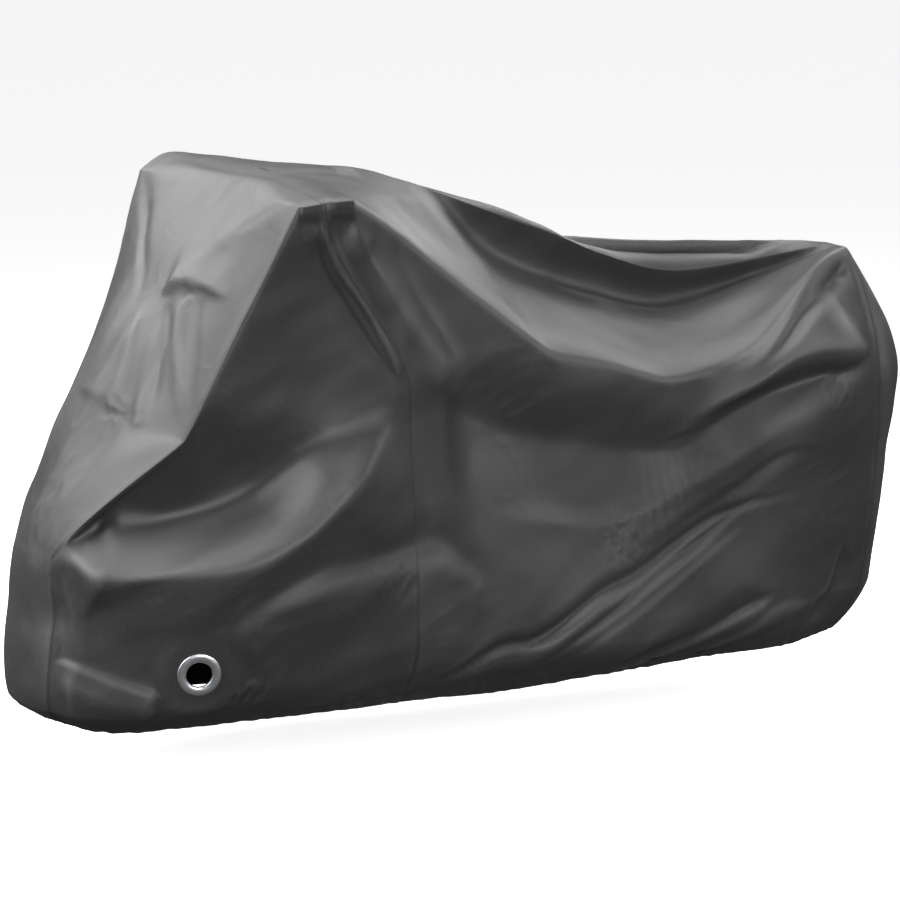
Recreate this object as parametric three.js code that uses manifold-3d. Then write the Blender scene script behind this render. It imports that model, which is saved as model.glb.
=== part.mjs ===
// Motorcycle cover: a fitted cloth cover, modelled in the shape in which it drapes in use.
// Five cloth panels are sewn edge to edge: one long centre panel that runs up the nose,
// over the top and down the tail, and a front and a rear side panel on each side. A metal eyelet
// for a lock is fitted low in the left front panel.
//
// Millimetres. -X is the front, +X the rear, +Z up, and -Y is the left side. Heights in the tables
// are above the ground, and the finished group is shifted so that its origin is HANG_POINT, the
// place under the top where the cover hangs.

import * as THREE from 'three';
import { mergeVertices } from 'three/addons/utils/BufferGeometryUtils.js';
import Module from 'manifold-3d';

const wasm = await Module();
wasm.setup();

const HANG_POINT = new THREE.Vector3(-540, 0, 1415);

// Driving dimensions
const SHEET = 2.4;              // thickness of the coated cloth with its seam allowance
const HEM_SHEET = 4.4;          // thickness at the turned hem, which holds a flat elastic
const HEM_DEPTH = 32;           // height of the turned hem
const SEAM_GAP = 0.5;           // clear gap between two panels along a seam
const GRID_STEP = 52;           // wanted spacing of the grid along the cover
const TOP_ACROSS = 12;          // grid steps across the centre panel
const WALL_ROWS = 12;           // grid steps from the top edge down to the hem
const NORMAL_STEP = 0.01;       // step in a grid parameter for a surface normal

// Eyelet
const EYELET_X = -923;
const EYELET_Z = 274;
const EYELET_OUTER = 52;        // radius of the flange
const EYELET_HOLE = 31;         // radius of the clear hole
const EYELET_BARREL = 34;       // radius of the barrel that passes through the cloth
const EYELET_HEIGHT = 5;        // how far the flange stands out of the cloth
const EYELET_LIP = 2.2;         // how far the barrel reaches behind the cloth
const EYELET_CLEAR = 0.4;       // gap between metal and cloth
const FLAT_RADIUS = 95;         // cloth that the eyelet keeps flat
const FLAT_BLEND = 150;         // radius at which the cloth is free again
const ROUND_STEPS = 40;

// Levels of the wall, as parts of the way from the top edge (0) down to the hem (1)
const LEVELS = [0, 0.28, 0.54, 0.86, 1];
const NOSE_BULGE = [15, 28, 28, 28, 20];
const TAIL_BULGE = [22, 190, 195, 185, 145];
const END_ROUNDNESS = 0.65;
const WALL_SLANT_END = 0.4;     // the part of the wall over which its columns slant rearwards
const INNER_HARDNESS = 0.25;    // the inner lines of the top turn this much of the edge's sharp corners
const TOP_HARDNESS = [0, 0.5, 0.75, 0.2, 0];  // how sharply the top turns across each of its five lines

/** Turns rows of values into objects that carry the column names. */
function table(columns, rows) {
  return rows.map((row) => Object.fromEntries(columns.map((name, i) => [name, row[i]])));
}

// One row for each upright section of the left wall, from the nose to the tail. topX, topY and topZ
// are the sewn edge of the top, hemX, hemY and hemZ the hem under it. faces is the direction in
// plan that the wall faces, in degrees from -Y towards +X. chest, waist and belly are how far the
// wall stands out of a straight line. hard is 1 where the top edge turns a sharp corner.
const SECTIONS = table(
  ['name', 'topX', 'topY', 'topZ', 'hemX', 'hemY', 'hemZ', 'faces', 'chest', 'waist', 'belly', 'hard'],
  [
    ['nose corner', -1205, -140, 540, -1165, -110, 118, -72, 25, 45, 48, 0.3],
    ['nose flank', -1180, -185, 597, -1105, -150, 100, -55, 22, 50, 62, 0],
    ['shelf', -1095, -240, 687, -1030, -200, 98, -38, 20, 50, 66, 0],
    ['corner', -935, -300, 822, -900, -265, 112, -18, 0, 40, 60, 0.8],
    ['taut edge', -820, -362, 1085, -720, -310, 122, -8, -20, 20, 62, 0],
    ['peak front', -700, -428, 1360, -540, -325, 127, 0, -30, 0, 58, 1],
    ['peak seam', -632, -432, 1368, -372, -335, 131, 0, -28, -2, 52, 0],
    ['peak rear', -556, -426, 1371, -270, -335, 130, 0, -25, 0, 52, 1],
    ['slope front', -370, -320, 1275, -160, -335, 128, 0, -12, 2, 52, 0],
    ['slope rear', -163, -300, 1128, -20, -335, 129, 0, -2, 5, 52, 0],
    ['dip kink', 58, -300, 967, 120, -335, 133, 0, 5, 5, 52, 0.5],
    ['dip', 230, -310, 930, 270, -335, 139, 0, 0, 5, 52, 0],
    ['dip low', 404, -310, 883, 420, -332, 144, 0, 0, 8, 50, 0.5],
    ['dip rear', 672, -270, 940, 650, -315, 149, 12, 22, 20, 42, 0],
    ['tail flank', 921, -190, 1121, 840, -270, 145, 20, 118, 78, 46, 0],
    ['tail corner', 1095, -95, 1158, 1005, -200, 150, 28, 136, 134, 72, 0.3],
  ],
);
const LAST = SECTIONS.length - 1;
const SEAM_SECTION = 6;         // the row of the side seam

// One row for each section of the top sheet. The valley, ridge and crest are three lines that run
// the length of the cover between its left and its right sewn edge.
const TOP_LINES = table(
  ['valleyX', 'valleyY', 'valleyZ', 'ridgeX', 'ridgeY', 'ridgeZ',
    'crestX', 'crestY', 'crestZ', 'rightX', 'rightY', 'rightZ'],
  [
    [-1216, -60, 552, -1218, 0, 556, -1208, 75, 548, -1182, 140, 530],
    [-1195, -75, 615, -1196, 0, 622, -1178, 90, 612, -1140, 185, 592],
    [-1140, -110, 697, -1150, 0, 700, -1130, 110, 695, -1075, 240, 680],
    [-1020, -150, 840, -1060, 10, 850, -1045, 160, 845, -965, 300, 825],
    [-870, -180, 1090, -905, 0, 1095, -890, 180, 1095, -830, 357, 1090],
    [-690, -200, 1372, -680, 0, 1375, -690, 200, 1385, -700, 430, 1395],
    [-625, -200, 1405, -625, 0, 1412, -625, 220, 1420, -632, 432, 1436],
    [-545, -200, 1402, -540, 0, 1425, -535, 220, 1428, -556, 430, 1432],
    [-350, -160, 1358, -330, 0, 1412, -345, 160, 1405, -400, 330, 1330],
    [-110, -20, 1312, -125, 35, 1360, -135, 130, 1349, -180, 300, 1190],
    [80, 20, 1184, 112, 50, 1277, 110, 120, 1284, 40, 300, 1050],
    [240, 28, 1101, 280, 52, 1220, 260, 125, 1228, 220, 300, 1000],
    [414, 30, 1049, 436, 54, 1160, 425, 138, 1202, 400, 300, 960],
    [655, 30, 1008, 662, 54, 1108, 670, 138, 1180, 670, 270, 1000],
    [1030, 15, 1115, 1040, 40, 1145, 1030, 118, 1168, 930, 200, 1100],
    [1105, -50, 1160, 1108, 0, 1163, 1108, 60, 1162, 1100, 110, 1156],
  ],
);

// One row for each fold, as a path of points. A fold of a wall has X and Z points, from the front to
// the rear. The top's front face leans, so a fold there has Y and Z points, and one on its upper face
// has X and Y points. height is how far a fold stands out, or in when it is below zero. left and
// right are the widths of its two flanks, seen along the path. starts and ends are the parts of its
// length over which it rises from nothing and dies out.
const FOLDS = table(['name', 'face', 'height', 'left', 'right', 'starts', 'ends', 'path'], [
  ['nose shelf', 'left wall', 80, 150, 300, 0.12, 0.2, [[-1206, 556], [-1117, 530], [-1010, 505],
    [-910, 506], [-800, 535], [-690, 604], [-584, 708], [-449, 852]]],
  ['hollow over the shelf', 'left wall', -46, 260, 120, 0.12, 0.16, [[-1190, 590], [-1068, 628],
    [-881, 669], [-751, 718], [-614, 785], [-427, 875]]],
  ['arch', 'left wall', 28, 60, 260, 0.1, 0.16, [[-880, 300], [-845, 350], [-800, 405], [-700, 460],
    [-553, 520], [-430, 545], [-346, 540], [-200, 430]]],
  ['hollow over the arch', 'left wall', -20, 90, 45, 0.16, 0.16, [[-761, 503], [-671, 546], [-553, 590],
    [-440, 622], [-340, 620], [-240, 560], [-140, 470]]],
  ['tuck under the dip', 'left wall', -46, 170, 280, 0.3, 0.16, [[-380, 915], [-276, 879], [-149, 844],
    [-71, 805], [41, 768], [156, 742], [393, 701], [560, 692]]],
  ['tail tuck', 'left wall', -30, 30, 110, 0.16, 0.16, [[383, 687], [574, 752], [683, 800], [850, 884],
    [903, 872], [979, 851], [1051, 866]]],
  ['tail ledge', 'left wall', 42, 210, 28, 0.16, 0.16, [[480, 755], [658, 836], [841, 911], [881, 902],
    [940, 888], [1030, 905]]],
  ['long tuck', 'left wall', -26, 80, 34, 0.16, 0.16, [[-329, 304], [-181, 316], [-64, 346], [59, 370],
    [180, 399], [305, 436], [433, 486], [565, 541], [674, 581]]],
  ['long ridge', 'left wall', 16, 34, 90, 0.16, 0.16, [[-286, 248], [-147, 277], [28, 312], [152, 350],
    [275, 386], [405, 435], [518, 490], [600, 533]]],
  ['low tuck', 'left wall', -18, 60, 30, 0.16, 0.16, [[-49, 161], [87, 186], [194, 215], [309, 232],
    [465, 276], [617, 305]]],
  ['nose ridge', 'left wall', 14, 60, 60, 0.16, 0.16, [[-1204, 234], [-1166, 233], [-1104, 210],
    [-1000, 190]]],
  ['shelf', 'right wall', 52, 105, 320, 0.16, 0.16, [[-1165, 520], [-1040, 500], [-890, 505],
    [-760, 560], [-610, 668], [-440, 800]]],
  ['hollow over the shelf', 'right wall', -24, 120, 60, 0.16, 0.16, [[-1120, 598], [-880, 640],
    [-700, 720], [-520, 840]]],
  ['arch', 'right wall', 30, 70, 230, 0.16, 0.16, [[-830, 300], [-700, 430], [-560, 520], [-420, 548],
    [-280, 500], [-140, 400]]],
  ['tuck under the dip', 'right wall', -32, 150, 120, 0.16, 0.16, [[-340, 930], [-120, 850], [120, 790],
    [380, 750], [640, 730]]],
  ['long tuck', 'right wall', -22, 100, 55, 0.16, 0.16, [[-220, 300], [80, 400], [330, 470], [560, 590],
    [800, 700]]],
  ['long ridge', 'right wall', 15, 50, 70, 0.16, 0.16, [[-100, 230], [160, 330], [420, 420], [700, 580]]],
  ['tail tuck', 'right wall', -24, 90, 55, 0.16, 0.16, [[520, 760], [760, 860], [980, 880]]],
  ['low tuck', 'right wall', -18, 70, 50, 0.16, 0.16, [[330, 200], [520, 270], [720, 330]]],
  ['brow', 'front face', 24, 150, 60, 0.16, 0.16, [[-215, 1150], [-114, 1172], [-45, 1140],
    [90, 1150], [190, 1120]]],
  ['far pull', 'front face', -12, 40, 60, 0.16, 0.16, [[385, 1390], [300, 1300], [85, 1157]]],
  ['front pull', 'upper face', -16, 90, 90, 0.16, 0.16, [[-600, -60], [-470, -40], [-330, -20]]],
  ['rear hollow', 'upper face', -18, 22, 50, 0.16, 0.16, [[230, 112], [420, 118], [640, 118],
    [880, 110], [1010, 90]]],
  ['sagging band', 'upper face', -14, 110, 110, 0.16, 0.16, [[-330, -170], [60, -170], [400, -175],
    [700, -150], [900, -100]]],
]);
const FOLD_CREST = 22;          // how far from its path a fold is rounded
const FOLD_TIP = 0.3;           // how wide a fold still is where it dies out

/** Cubic through the rows of values at parameter t; a hard row gets a short tangent. */
function curveAt(values, t, hard = null) {
  const i = Math.min(Math.max(Math.floor(t), 0), values.length - 2);
  const s = t - i;
  const slope = (k) => {
    const before = values[Math.max(k - 1, 0)];
    const after = values[Math.min(k + 1, values.length - 1)];
    const span = k === 0 || k === values.length - 1 ? 1 : 2;
    return ((after - before) / span) * (hard ? 1 - hard[k] : 1);
  };
  const s2 = s * s;
  const s3 = s2 * s;
  return (2 * s3 - 3 * s2 + 1) * values[i] + (s3 - 2 * s2 + s) * slope(i)
    + (3 * s2 - 2 * s3) * values[i + 1] + (s3 - s2) * slope(i + 1);
}

/** Eases from 0 to 1 as x goes from 0 to 1. */
function ease(x) {
  const c = Math.min(Math.max(x, 0), 1);
  return c * c * (3 - 2 * c);
}

/** The place of v among the LEVELS, as a row number with a fraction. */
function levelIndex(v) {
  let i = 0;
  while (i < LEVELS.length - 2 && v > LEVELS[i + 1]) i += 1;
  return i + (v - LEVELS[i]) / (LEVELS[i + 1] - LEVELS[i]);
}

const HARD = SECTIONS.map((row) => row.hard);
const sectionColumn = Object.fromEntries(
  Object.keys(SECTIONS[0]).map((name) => [name, SECTIONS.map((row) => row[name])]),
);
const topColumn = Object.fromEntries(
  Object.keys(TOP_LINES[0]).map((name) => [name, TOP_LINES.map((row) => row[name])]),
);
const sectionAt = (name, k) => curveAt(sectionColumn[name], k);
const SOFT = HARD.map((hard) => hard * INNER_HARDNESS);
const topLineAt = (line, k, hard = SOFT) => new THREE.Vector3(
  curveAt(topColumn[`${line}X`], k, hard),
  curveAt(topColumn[`${line}Y`], k, hard),
  curveAt(topColumn[`${line}Z`], k, hard),
);

/** The sewn edge between the top and a side wall. */
function topEdge(side, k) {
  if (side === 'right') return topLineAt('right', k, HARD);
  const at = (name) => curveAt(sectionColumn[name], k, HARD);
  return new THREE.Vector3(at('topX'), at('topY'), at('topZ'));
}

/** A point of a side wall without its folds; k is the section, v runs from the edge to the hem. */
function plainWall(side, k, v) {
  const sign = side === 'right' ? 1 : -1;
  const top = topEdge(side, k);
  const hemY = sign * Math.abs(sectionAt('hemY', k));
  const slant = ease(v / WALL_SLANT_END);
  const faces = THREE.MathUtils.degToRad(curveAt(sectionColumn.faces, k));
  const stands = [0, sectionAt('chest', k), sectionAt('waist', k), sectionAt('belly', k), 0];
  const out = curveAt(stands, levelIndex(v));
  return new THREE.Vector3(
    top.x + (sectionAt('hemX', k) - top.x) * slant + Math.sin(faces) * out,
    top.y + (hemY - top.y) * v + sign * Math.cos(faces) * out,
    top.z + (sectionAt('hemZ', k) - top.z) * v,
  );
}

/** A point of the top sheet without its folds; a runs from the left edge (0) to the right (1). */
function plainTop(k, a) {
  const lines = [topEdge('left', k), topLineAt('valley', k), topLineAt('ridge', k),
    topLineAt('crest', k), topEdge('right', k)];
  const at = (axis) => curveAt(lines.map((point) => point[axis]), a * (lines.length - 1), TOP_HARDNESS);
  return new THREE.Vector3(at('x'), at('y'), at('z'));
}

/** A point of the wall across the nose or the tail; q runs from the left corner to the right. */
function endWall(end, q, v) {
  const k = end === 'tail' ? LAST : 0;
  const bulges = end === 'tail' ? TAIL_BULGE : NOSE_BULGE.map((value) => -value);
  const left = plainWall('left', k, v);
  const point = left.lerp(plainWall('right', k, v), q);
  point.x += curveAt(bulges, levelIndex(v)) * (1 - (2 * q - 1) ** 2) ** END_ROUNDNESS;
  const flat = endWallTop(k, bulges[0], q);
  const reach = 1 - ease(v / LEVELS[1]);
  return point.addScaledVector(plainTop(k, q).sub(flat), reach);
}

function endWallTop(k, bulge, q) {
  const point = topEdge('left', k).lerp(topEdge('right', k), q);
  point.x += bulge * (1 - (2 * q - 1) ** 2) ** END_ROUNDNESS;
  return point;
}

/** Signed distance from (a, b) to a path, positive to its left, and how far along it that is. */
function alongPath(path, a, b) {
  let best = { distance: Infinity, along: 0 };
  let walked = 0;
  const lengths = path.slice(1).map((p, i) => Math.hypot(p[0] - path[i][0], p[1] - path[i][1]));
  const total = lengths.reduce((sum, length) => sum + length, 0);
  path.slice(1).forEach((p, i) => {
    const [x0, y0] = path[i];
    const dx = (p[0] - x0) / lengths[i];
    const dy = (p[1] - y0) / lengths[i];
    const s = Math.min(Math.max((a - x0) * dx + (b - y0) * dy, 0), lengths[i]);
    const ex = a - x0 - dx * s;
    const ey = b - y0 - dy * s;
    const distance = Math.hypot(ex, ey);
    if (distance < Math.abs(best.distance)) {
      const side = dx * ey - dy * ex >= 0 ? 1 : -1;
      best = { distance: side * distance, along: (walked + s) / total };
    }
    walked += lengths[i];
  });
  return best;
}

/** How far one fold moves the sheet at (a, b). */
function foldAt(fold, a, b) {
  const { distance, along } = alongPath(fold.path, a, b);
  const fade = ease(along / fold.starts) * ease((1 - along) / fold.ends);
  const width = (distance >= 0 ? fold.left : fold.right) * (FOLD_TIP + (1 - FOLD_TIP) * fade);
  const across = (Math.hypot(distance, FOLD_CREST) - FOLD_CREST) / width;
  if (across >= 1) return 0;
  return fold.height * fade * (1 - across) ** 2 * (1 + 0.6 * across);
}

/** How far all the folds of one face move the sheet at (a, b). */
function foldsOf(face, a, b) {
  return FOLDS.filter((fold) => fold.face === face).reduce((sum, fold) => sum + foldAt(fold, a, b), 0);
}

/** Moves a plain point along the surface normal by the given amount. */
function pushOut(plain, u, v, amount, outward) {
  const point = plain(u, v);
  if (amount === 0) return point;
  const du = plain(u + NORMAL_STEP, v).sub(plain(u - NORMAL_STEP, v));
  const dv = plain(u, v + NORMAL_STEP).sub(plain(u, v - NORMAL_STEP));
  return point.addScaledVector(du.cross(dv).normalize(), outward * amount);
}

const EDGE_FADE = 0.04;         // folds die out over this part of the wall below the top edge
const CORNER_FADE = 0.6;        // and over this many sections beside the nose and the tail

function foldedWall(side, k, v) {
  const plain = (kk, vv) => plainWall(side, kk, vv);
  const { x, z } = plain(k, v);
  const fade = ease(v / EDGE_FADE) * ease(k / CORNER_FADE) * ease((LAST - k) / CORNER_FADE);
  const amount = fade > 0 ? foldsOf(`${side} wall`, x, z) : 0;
  const inner = Math.min(Math.max(k, NORMAL_STEP), LAST - NORMAL_STEP);
  return pushOut(plain, fade > 0 ? inner : k, v, amount * fade, side === 'right' ? 1 : -1);
}

const TOP_EDGE_FADE = 0.14;     // folds of the top die out over this part of its width
const FRONT_FACE_END = 5;       // the section at which the leaning front face turns level

function foldedTop(k, a) {
  const { x, y, z } = plainTop(k, a);
  const fade = ease(a / TOP_EDGE_FADE) * ease((1 - a) / TOP_EDGE_FADE)
    * ease(k / CORNER_FADE) * ease((LAST - k) / CORNER_FADE);
  const front = 1 - ease((k - FRONT_FACE_END) / 0.8 + 0.5);
  const amount = foldsOf('front face', y, z) * front + foldsOf('upper face', x, y) * (1 - front);
  return pushOut(plainTop, k, a, amount * fade, 1);
}

/** The flat place that the eyelet keeps, as a point and an outward normal. */
function eyeletPlace() {
  let best = { miss: Infinity };
  for (let k = 2; k < SEAM_SECTION; k += 0.02) {
    for (let v = 0.4; v < 1; v += 0.005) {
      const point = plainWall('left', k, v);
      const miss = Math.hypot(point.x - EYELET_X, point.z - EYELET_Z);
      if (miss < best.miss) best = { miss, k, v };
    }
  }
  const centre = foldedWall('left', best.k, best.v);
  const along = foldedWall('left', best.k + 0.3, best.v).sub(foldedWall('left', best.k - 0.3, best.v));
  const down = foldedWall('left', best.k, best.v + 0.06).sub(foldedWall('left', best.k, best.v - 0.06));
  return { centre, normal: down.cross(along).normalize() };
}

const EYELET_PLACE = eyeletPlace();

/** Draws the cloth around the eyelet flat. */
function flattenAtEyelet(point) {
  const { centre, normal } = EYELET_PLACE;
  const offset = point.clone().sub(centre);
  const height = offset.dot(normal);
  const reach = Math.sqrt(Math.max(offset.lengthSq() - height * height, 0));
  const free = ease((reach - FLAT_RADIUS) / (FLAT_BLEND - FLAT_RADIUS));
  return point.addScaledVector(normal, -height * (1 - free));
}

/** Section parameters whose columns are about GRID_STEP apart. */
function columnPlaces() {
  const places = [];
  for (let k = 0; k < LAST; k += 1) {
    const high = topEdge('left', k).distanceTo(topEdge('left', k + 1));
    const low = plainWall('left', k, 0.5).distanceTo(plainWall('left', k + 1, 0.5));
    const steps = Math.max(1, Math.round(Math.max(high, low) / GRID_STEP));
    for (let i = 0; i < steps; i += 1) places.push(k + i / steps);
  }
  return [...places, LAST];
}

const evenPlaces = (count) => Array.from({ length: count + 1 }, (_, i) => i / count);
const COLUMNS = columnPlaces();
const ACROSS = evenPlaces(TOP_ACROSS);
const WALL_HEIGHT = 750;        // a middling height of the wall, which sets the row of the hem fold
const HEM_ROW = 1 - HEM_DEPTH / WALL_HEIGHT;
const ROWS = [...evenPlaces(WALL_ROWS).slice(0, -1), HEM_ROW, 1];

const PANELS = {
  centre: 'centre_panel',
  leftFront: 'side_panel_left_front',
  leftRear: 'side_panel_left_rear',
  rightFront: 'side_panel_right_front',
  rightRear: 'side_panel_right_rear',
};

/** The whole outer surface as shared points and triangles that name their panel. */
function coverSurface() {
  const points = [];
  const hemPoints = new Set();
  const places = new Map();
  const triangles = [];
  const pointIndex = (point, isHem) => {
    const key = point.toArray().map((value) => Math.round(value * 50)).join(' ');
    if (!places.has(key)) {
      places.set(key, points.length);
      points.push(point);
    }
    if (isHem) hemPoints.add(places.get(key));
    return places.get(key);
  };
  const addGrid = (uPlaces, vPlaces, surface, outward, panelAt, isHem) => {
    const rows = uPlaces.map((u) => vPlaces.map((v) => pointIndex(surface(u, v), isHem(v))));
    for (let i = 0; i < uPlaces.length - 1; i += 1) {
      for (let j = 0; j < vPlaces.length - 1; j += 1) {
        const panel = panelAt((uPlaces[i] + uPlaces[i + 1]) / 2);
        const [a, b, c, d] = [rows[i][j], rows[i + 1][j], rows[i + 1][j + 1], rows[i][j + 1]];
        const diagonalAC = points[a].distanceTo(points[c]) < points[b].distanceTo(points[d]);
        const pair = diagonalAC ? [[a, b, c], [a, c, d]] : [[a, b, d], [b, c, d]];
        for (const triangle of pair) {
          if (new Set(triangle).size < 3) continue;
          triangles.push({ panel, corners: outward ? triangle : [...triangle].reverse() });
        }
      }
    }
  };
  const onHem = (v) => v >= HEM_ROW;
  const never = () => false;
  const leftPanel = (k) => (k < SEAM_SECTION ? PANELS.leftFront : PANELS.leftRear);
  const rightPanel = (k) => (k < SEAM_SECTION ? PANELS.rightFront : PANELS.rightRear);
  const centre = () => PANELS.centre;
  addGrid(COLUMNS, ROWS, (k, v) => flattenAtEyelet(foldedWall('left', k, v)), false, leftPanel, onHem);
  addGrid(COLUMNS, ROWS, (k, v) => foldedWall('right', k, v), true, rightPanel, onHem);
  addGrid(ACROSS, ROWS, (q, v) => endWall('nose', q, v), true, centre, onHem);
  addGrid(ACROSS, ROWS, (q, v) => endWall('tail', q, v), false, centre, onHem);
  addGrid(COLUMNS, ACROSS, foldedTop, true, centre, never);
  return { points, triangles, hemPoints };
}

/** Outward normals at the shared points, each face counted by the angle that it has there. */
function pointNormals(points, triangles) {
  const normals = points.map(() => new THREE.Vector3());
  for (const { corners } of triangles) {
    corners.forEach((i, n) => {
      const toNext = points[corners[(n + 1) % 3]].clone().sub(points[i]);
      const toLast = points[corners[(n + 2) % 3]].clone().sub(points[i]);
      const angle = toNext.angleTo(toLast);
      normals[i].addScaledVector(toNext.cross(toLast).normalize(), angle);
    });
  }
  return normals.map((normal) => normal.normalize());
}

/** One panel as a closed sheet: its outer face, its inner face and its cut edges. */
function panelGeometry(surface, normals, panel) {
  const { points, triangles, hemPoints } = surface;
  const own = triangles.filter((triangle) => triangle.panel === panel).map(({ corners }) => corners);
  const edges = new Map();
  const centre = new Map();
  for (const corners of own) {
    corners.forEach((from, n) => {
      const to = corners[(n + 1) % corners.length];
      const back = `${to} ${from}`;
      if (edges.has(back)) edges.delete(back);
      else edges.set(`${from} ${to}`, [from, to]);
      const middle = corners.reduce((sum, i) => sum.add(points[i]), new THREE.Vector3())
        .divideScalar(corners.length);
      centre.set(`${from} ${to}`, middle);
    });
  }
  const inward = new Map();
  for (const [key, [from, to]] of edges) {
    const along = points[to].clone().sub(points[from]).normalize();
    const toward = centre.get(key).clone().sub(points[from]);
    toward.addScaledVector(along, -toward.dot(along)).normalize();
    const isHemEdge = hemPoints.has(from) && hemPoints.has(to);
    for (const i of [from, to]) {
      if (!inward.has(i)) inward.set(i, new THREE.Vector3());
      if (!isHemEdge) inward.get(i).add(toward);
    }
  }
  const outer = new Map();
  const inner = new Map();
  for (const i of new Set(own.flat())) {
    const shift = inward.has(i) && inward.get(i).lengthSq() > 0
      ? inward.get(i).clone().normalize().multiplyScalar(SEAM_GAP / 2 * Math.SQRT2)
      : new THREE.Vector3();
    const thickness = hemPoints.has(i) ? HEM_SHEET : SHEET;
    outer.set(i, points[i].clone().add(shift));
    inner.set(i, outer.get(i).clone().addScaledVector(normals[i], -thickness));
  }
  const corners = [];
  const addTriangle = (...vertices) => {
    for (const { x, y, z } of vertices) corners.push(x, y, z);
  };
  for (const [a, b, c] of own) {
    addTriangle(outer.get(a), outer.get(b), outer.get(c));
    addTriangle(inner.get(c), inner.get(b), inner.get(a));
  }
  for (const [from, to] of edges.values()) {
    addTriangle(outer.get(to), outer.get(from), inner.get(from));
    addTriangle(outer.get(to), inner.get(from), inner.get(to));
  }
  const geometry = new THREE.BufferGeometry();
  geometry.setAttribute('position', new THREE.Float32BufferAttribute(corners, 3));
  return mergeVertices(geometry, 1e-4);
}

/** A closed mesh as a solid that can be cut. */
function toSolid(geometry) {
  const plain = geometry.clone();
  plain.deleteAttribute('normal');
  plain.deleteAttribute('uv');
  const merged = mergeVertices(plain, 1e-4);
  return new wasm.Manifold(new wasm.Mesh({
    numProp: 3,
    vertProperties: new Float32Array(merged.attributes.position.array),
    triVerts: new Uint32Array(merged.index.array),
  }));
}

function fromSolid(solid) {
  const mesh = solid.getMesh();
  const geometry = new THREE.BufferGeometry();
  geometry.setAttribute('position', new THREE.BufferAttribute(mesh.vertProperties, 3));
  geometry.setIndex(new THREE.BufferAttribute(mesh.triVerts, 1));
  return geometry;
}

/** Turns something made around +Y so that +Y is the eyelet's outward normal, and seats it there. */
function seatAtEyelet(geometry) {
  const { centre, normal } = EYELET_PLACE;
  const turn = new THREE.Quaternion().setFromUnitVectors(new THREE.Vector3(0, 1, 0), normal);
  geometry.applyQuaternion(turn);
  geometry.translate(centre.x, centre.y, centre.z);
  return geometry;
}

/** The round hole that the eyelet's barrel passes through. */
function cutEyeletHole(geometry) {
  const radius = EYELET_BARREL + EYELET_CLEAR;
  const drill = seatAtEyelet(new THREE.CylinderGeometry(radius, radius, 60, ROUND_STEPS));
  return fromSolid(toSolid(geometry).subtract(toSolid(drill)));
}

/** Polished ring: a domed flange on the cloth and a barrel with a rolled lip behind it. */
function eyeletGeometry() {
  const seat = EYELET_CLEAR;
  const back = -SHEET - EYELET_LIP;
  const profile = [
    [EYELET_HOLE, back], [EYELET_BARREL, back], [EYELET_BARREL, seat], [EYELET_OUTER, seat],
    [EYELET_OUTER, seat + 1.2], [EYELET_OUTER - 4, EYELET_HEIGHT - 1], [EYELET_OUTER - 9, EYELET_HEIGHT],
    [EYELET_HOLE + 6, EYELET_HEIGHT], [EYELET_HOLE + 2, EYELET_HEIGHT - 1.2],
    [EYELET_HOLE, EYELET_HEIGHT - 3.5], [EYELET_HOLE, back],
  ].map(([radius, height]) => new THREE.Vector2(radius, height));
  return seatAtEyelet(new THREE.LatheGeometry(profile, ROUND_STEPS));
}

const coatedCloth = new THREE.MeshStandardMaterial({ color: 0x3a3a3b, roughness: 0.55, metalness: 0 });
const polishedSteel = new THREE.MeshStandardMaterial({ color: 0xd8d9dc, roughness: 0.15, metalness: 1 });

function buildCover() {
  const surface = coverSurface();
  const normals = pointNormals(surface.points, surface.triangles);
  const cover = new THREE.Group();
  for (const panel of Object.values(PANELS)) {
    let geometry = panelGeometry(surface, normals, panel);
    if (panel === PANELS.leftFront) geometry = cutEyeletHole(geometry);
    const mesh = new THREE.Mesh(geometry, coatedCloth.clone());
    mesh.name = panel;
    cover.add(mesh);
  }
  const eyelet = new THREE.Mesh(eyeletGeometry(), polishedSteel);
  eyelet.name = 'eyelet_ring_left';
  cover.add(eyelet);
  cover.position.copy(HANG_POINT).negate();
  return cover;
}

const cover = buildCover();
cover.updateMatrixWorld(true);

export default cover;
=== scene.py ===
"""Motorcycle cover as it drapes: five sewn panels of coated cloth and a polished lock eyelet.

The cover's outer surface is worked out in millimetres above the ground from the tables below, then
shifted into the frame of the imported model, in metres. -X is the front, +X the rear, -Y the left.
"""

from __future__ import annotations

import logging
import math
from collections.abc import Callable
from dataclasses import dataclass, field
from enum import Enum, IntEnum
from functools import partial

import bpy
import numpy as np
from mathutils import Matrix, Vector

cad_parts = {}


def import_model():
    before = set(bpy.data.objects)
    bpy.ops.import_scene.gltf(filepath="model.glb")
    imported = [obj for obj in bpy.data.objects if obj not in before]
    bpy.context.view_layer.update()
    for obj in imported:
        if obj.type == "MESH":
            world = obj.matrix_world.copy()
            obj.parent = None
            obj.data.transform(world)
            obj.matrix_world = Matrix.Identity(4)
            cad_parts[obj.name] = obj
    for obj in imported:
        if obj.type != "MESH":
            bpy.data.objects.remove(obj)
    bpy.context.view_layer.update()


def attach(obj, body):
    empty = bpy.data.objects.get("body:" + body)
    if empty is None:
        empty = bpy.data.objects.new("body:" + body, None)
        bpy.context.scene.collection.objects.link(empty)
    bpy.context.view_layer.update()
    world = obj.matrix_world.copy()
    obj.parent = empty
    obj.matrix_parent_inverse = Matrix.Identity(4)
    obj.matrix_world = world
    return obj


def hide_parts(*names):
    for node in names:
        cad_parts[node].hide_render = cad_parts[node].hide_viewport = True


Array = np.ndarray
Node = bpy.types.Node
Socket = bpy.types.NodeSocket

LOG = logging.getLogger("motorcycle_cover")
MM = 0.001
HANG_POINT = (-540.0, 0.0, 1415.0)  # the frame's origin, in millimetres above the ground
BODY = "root"

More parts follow.
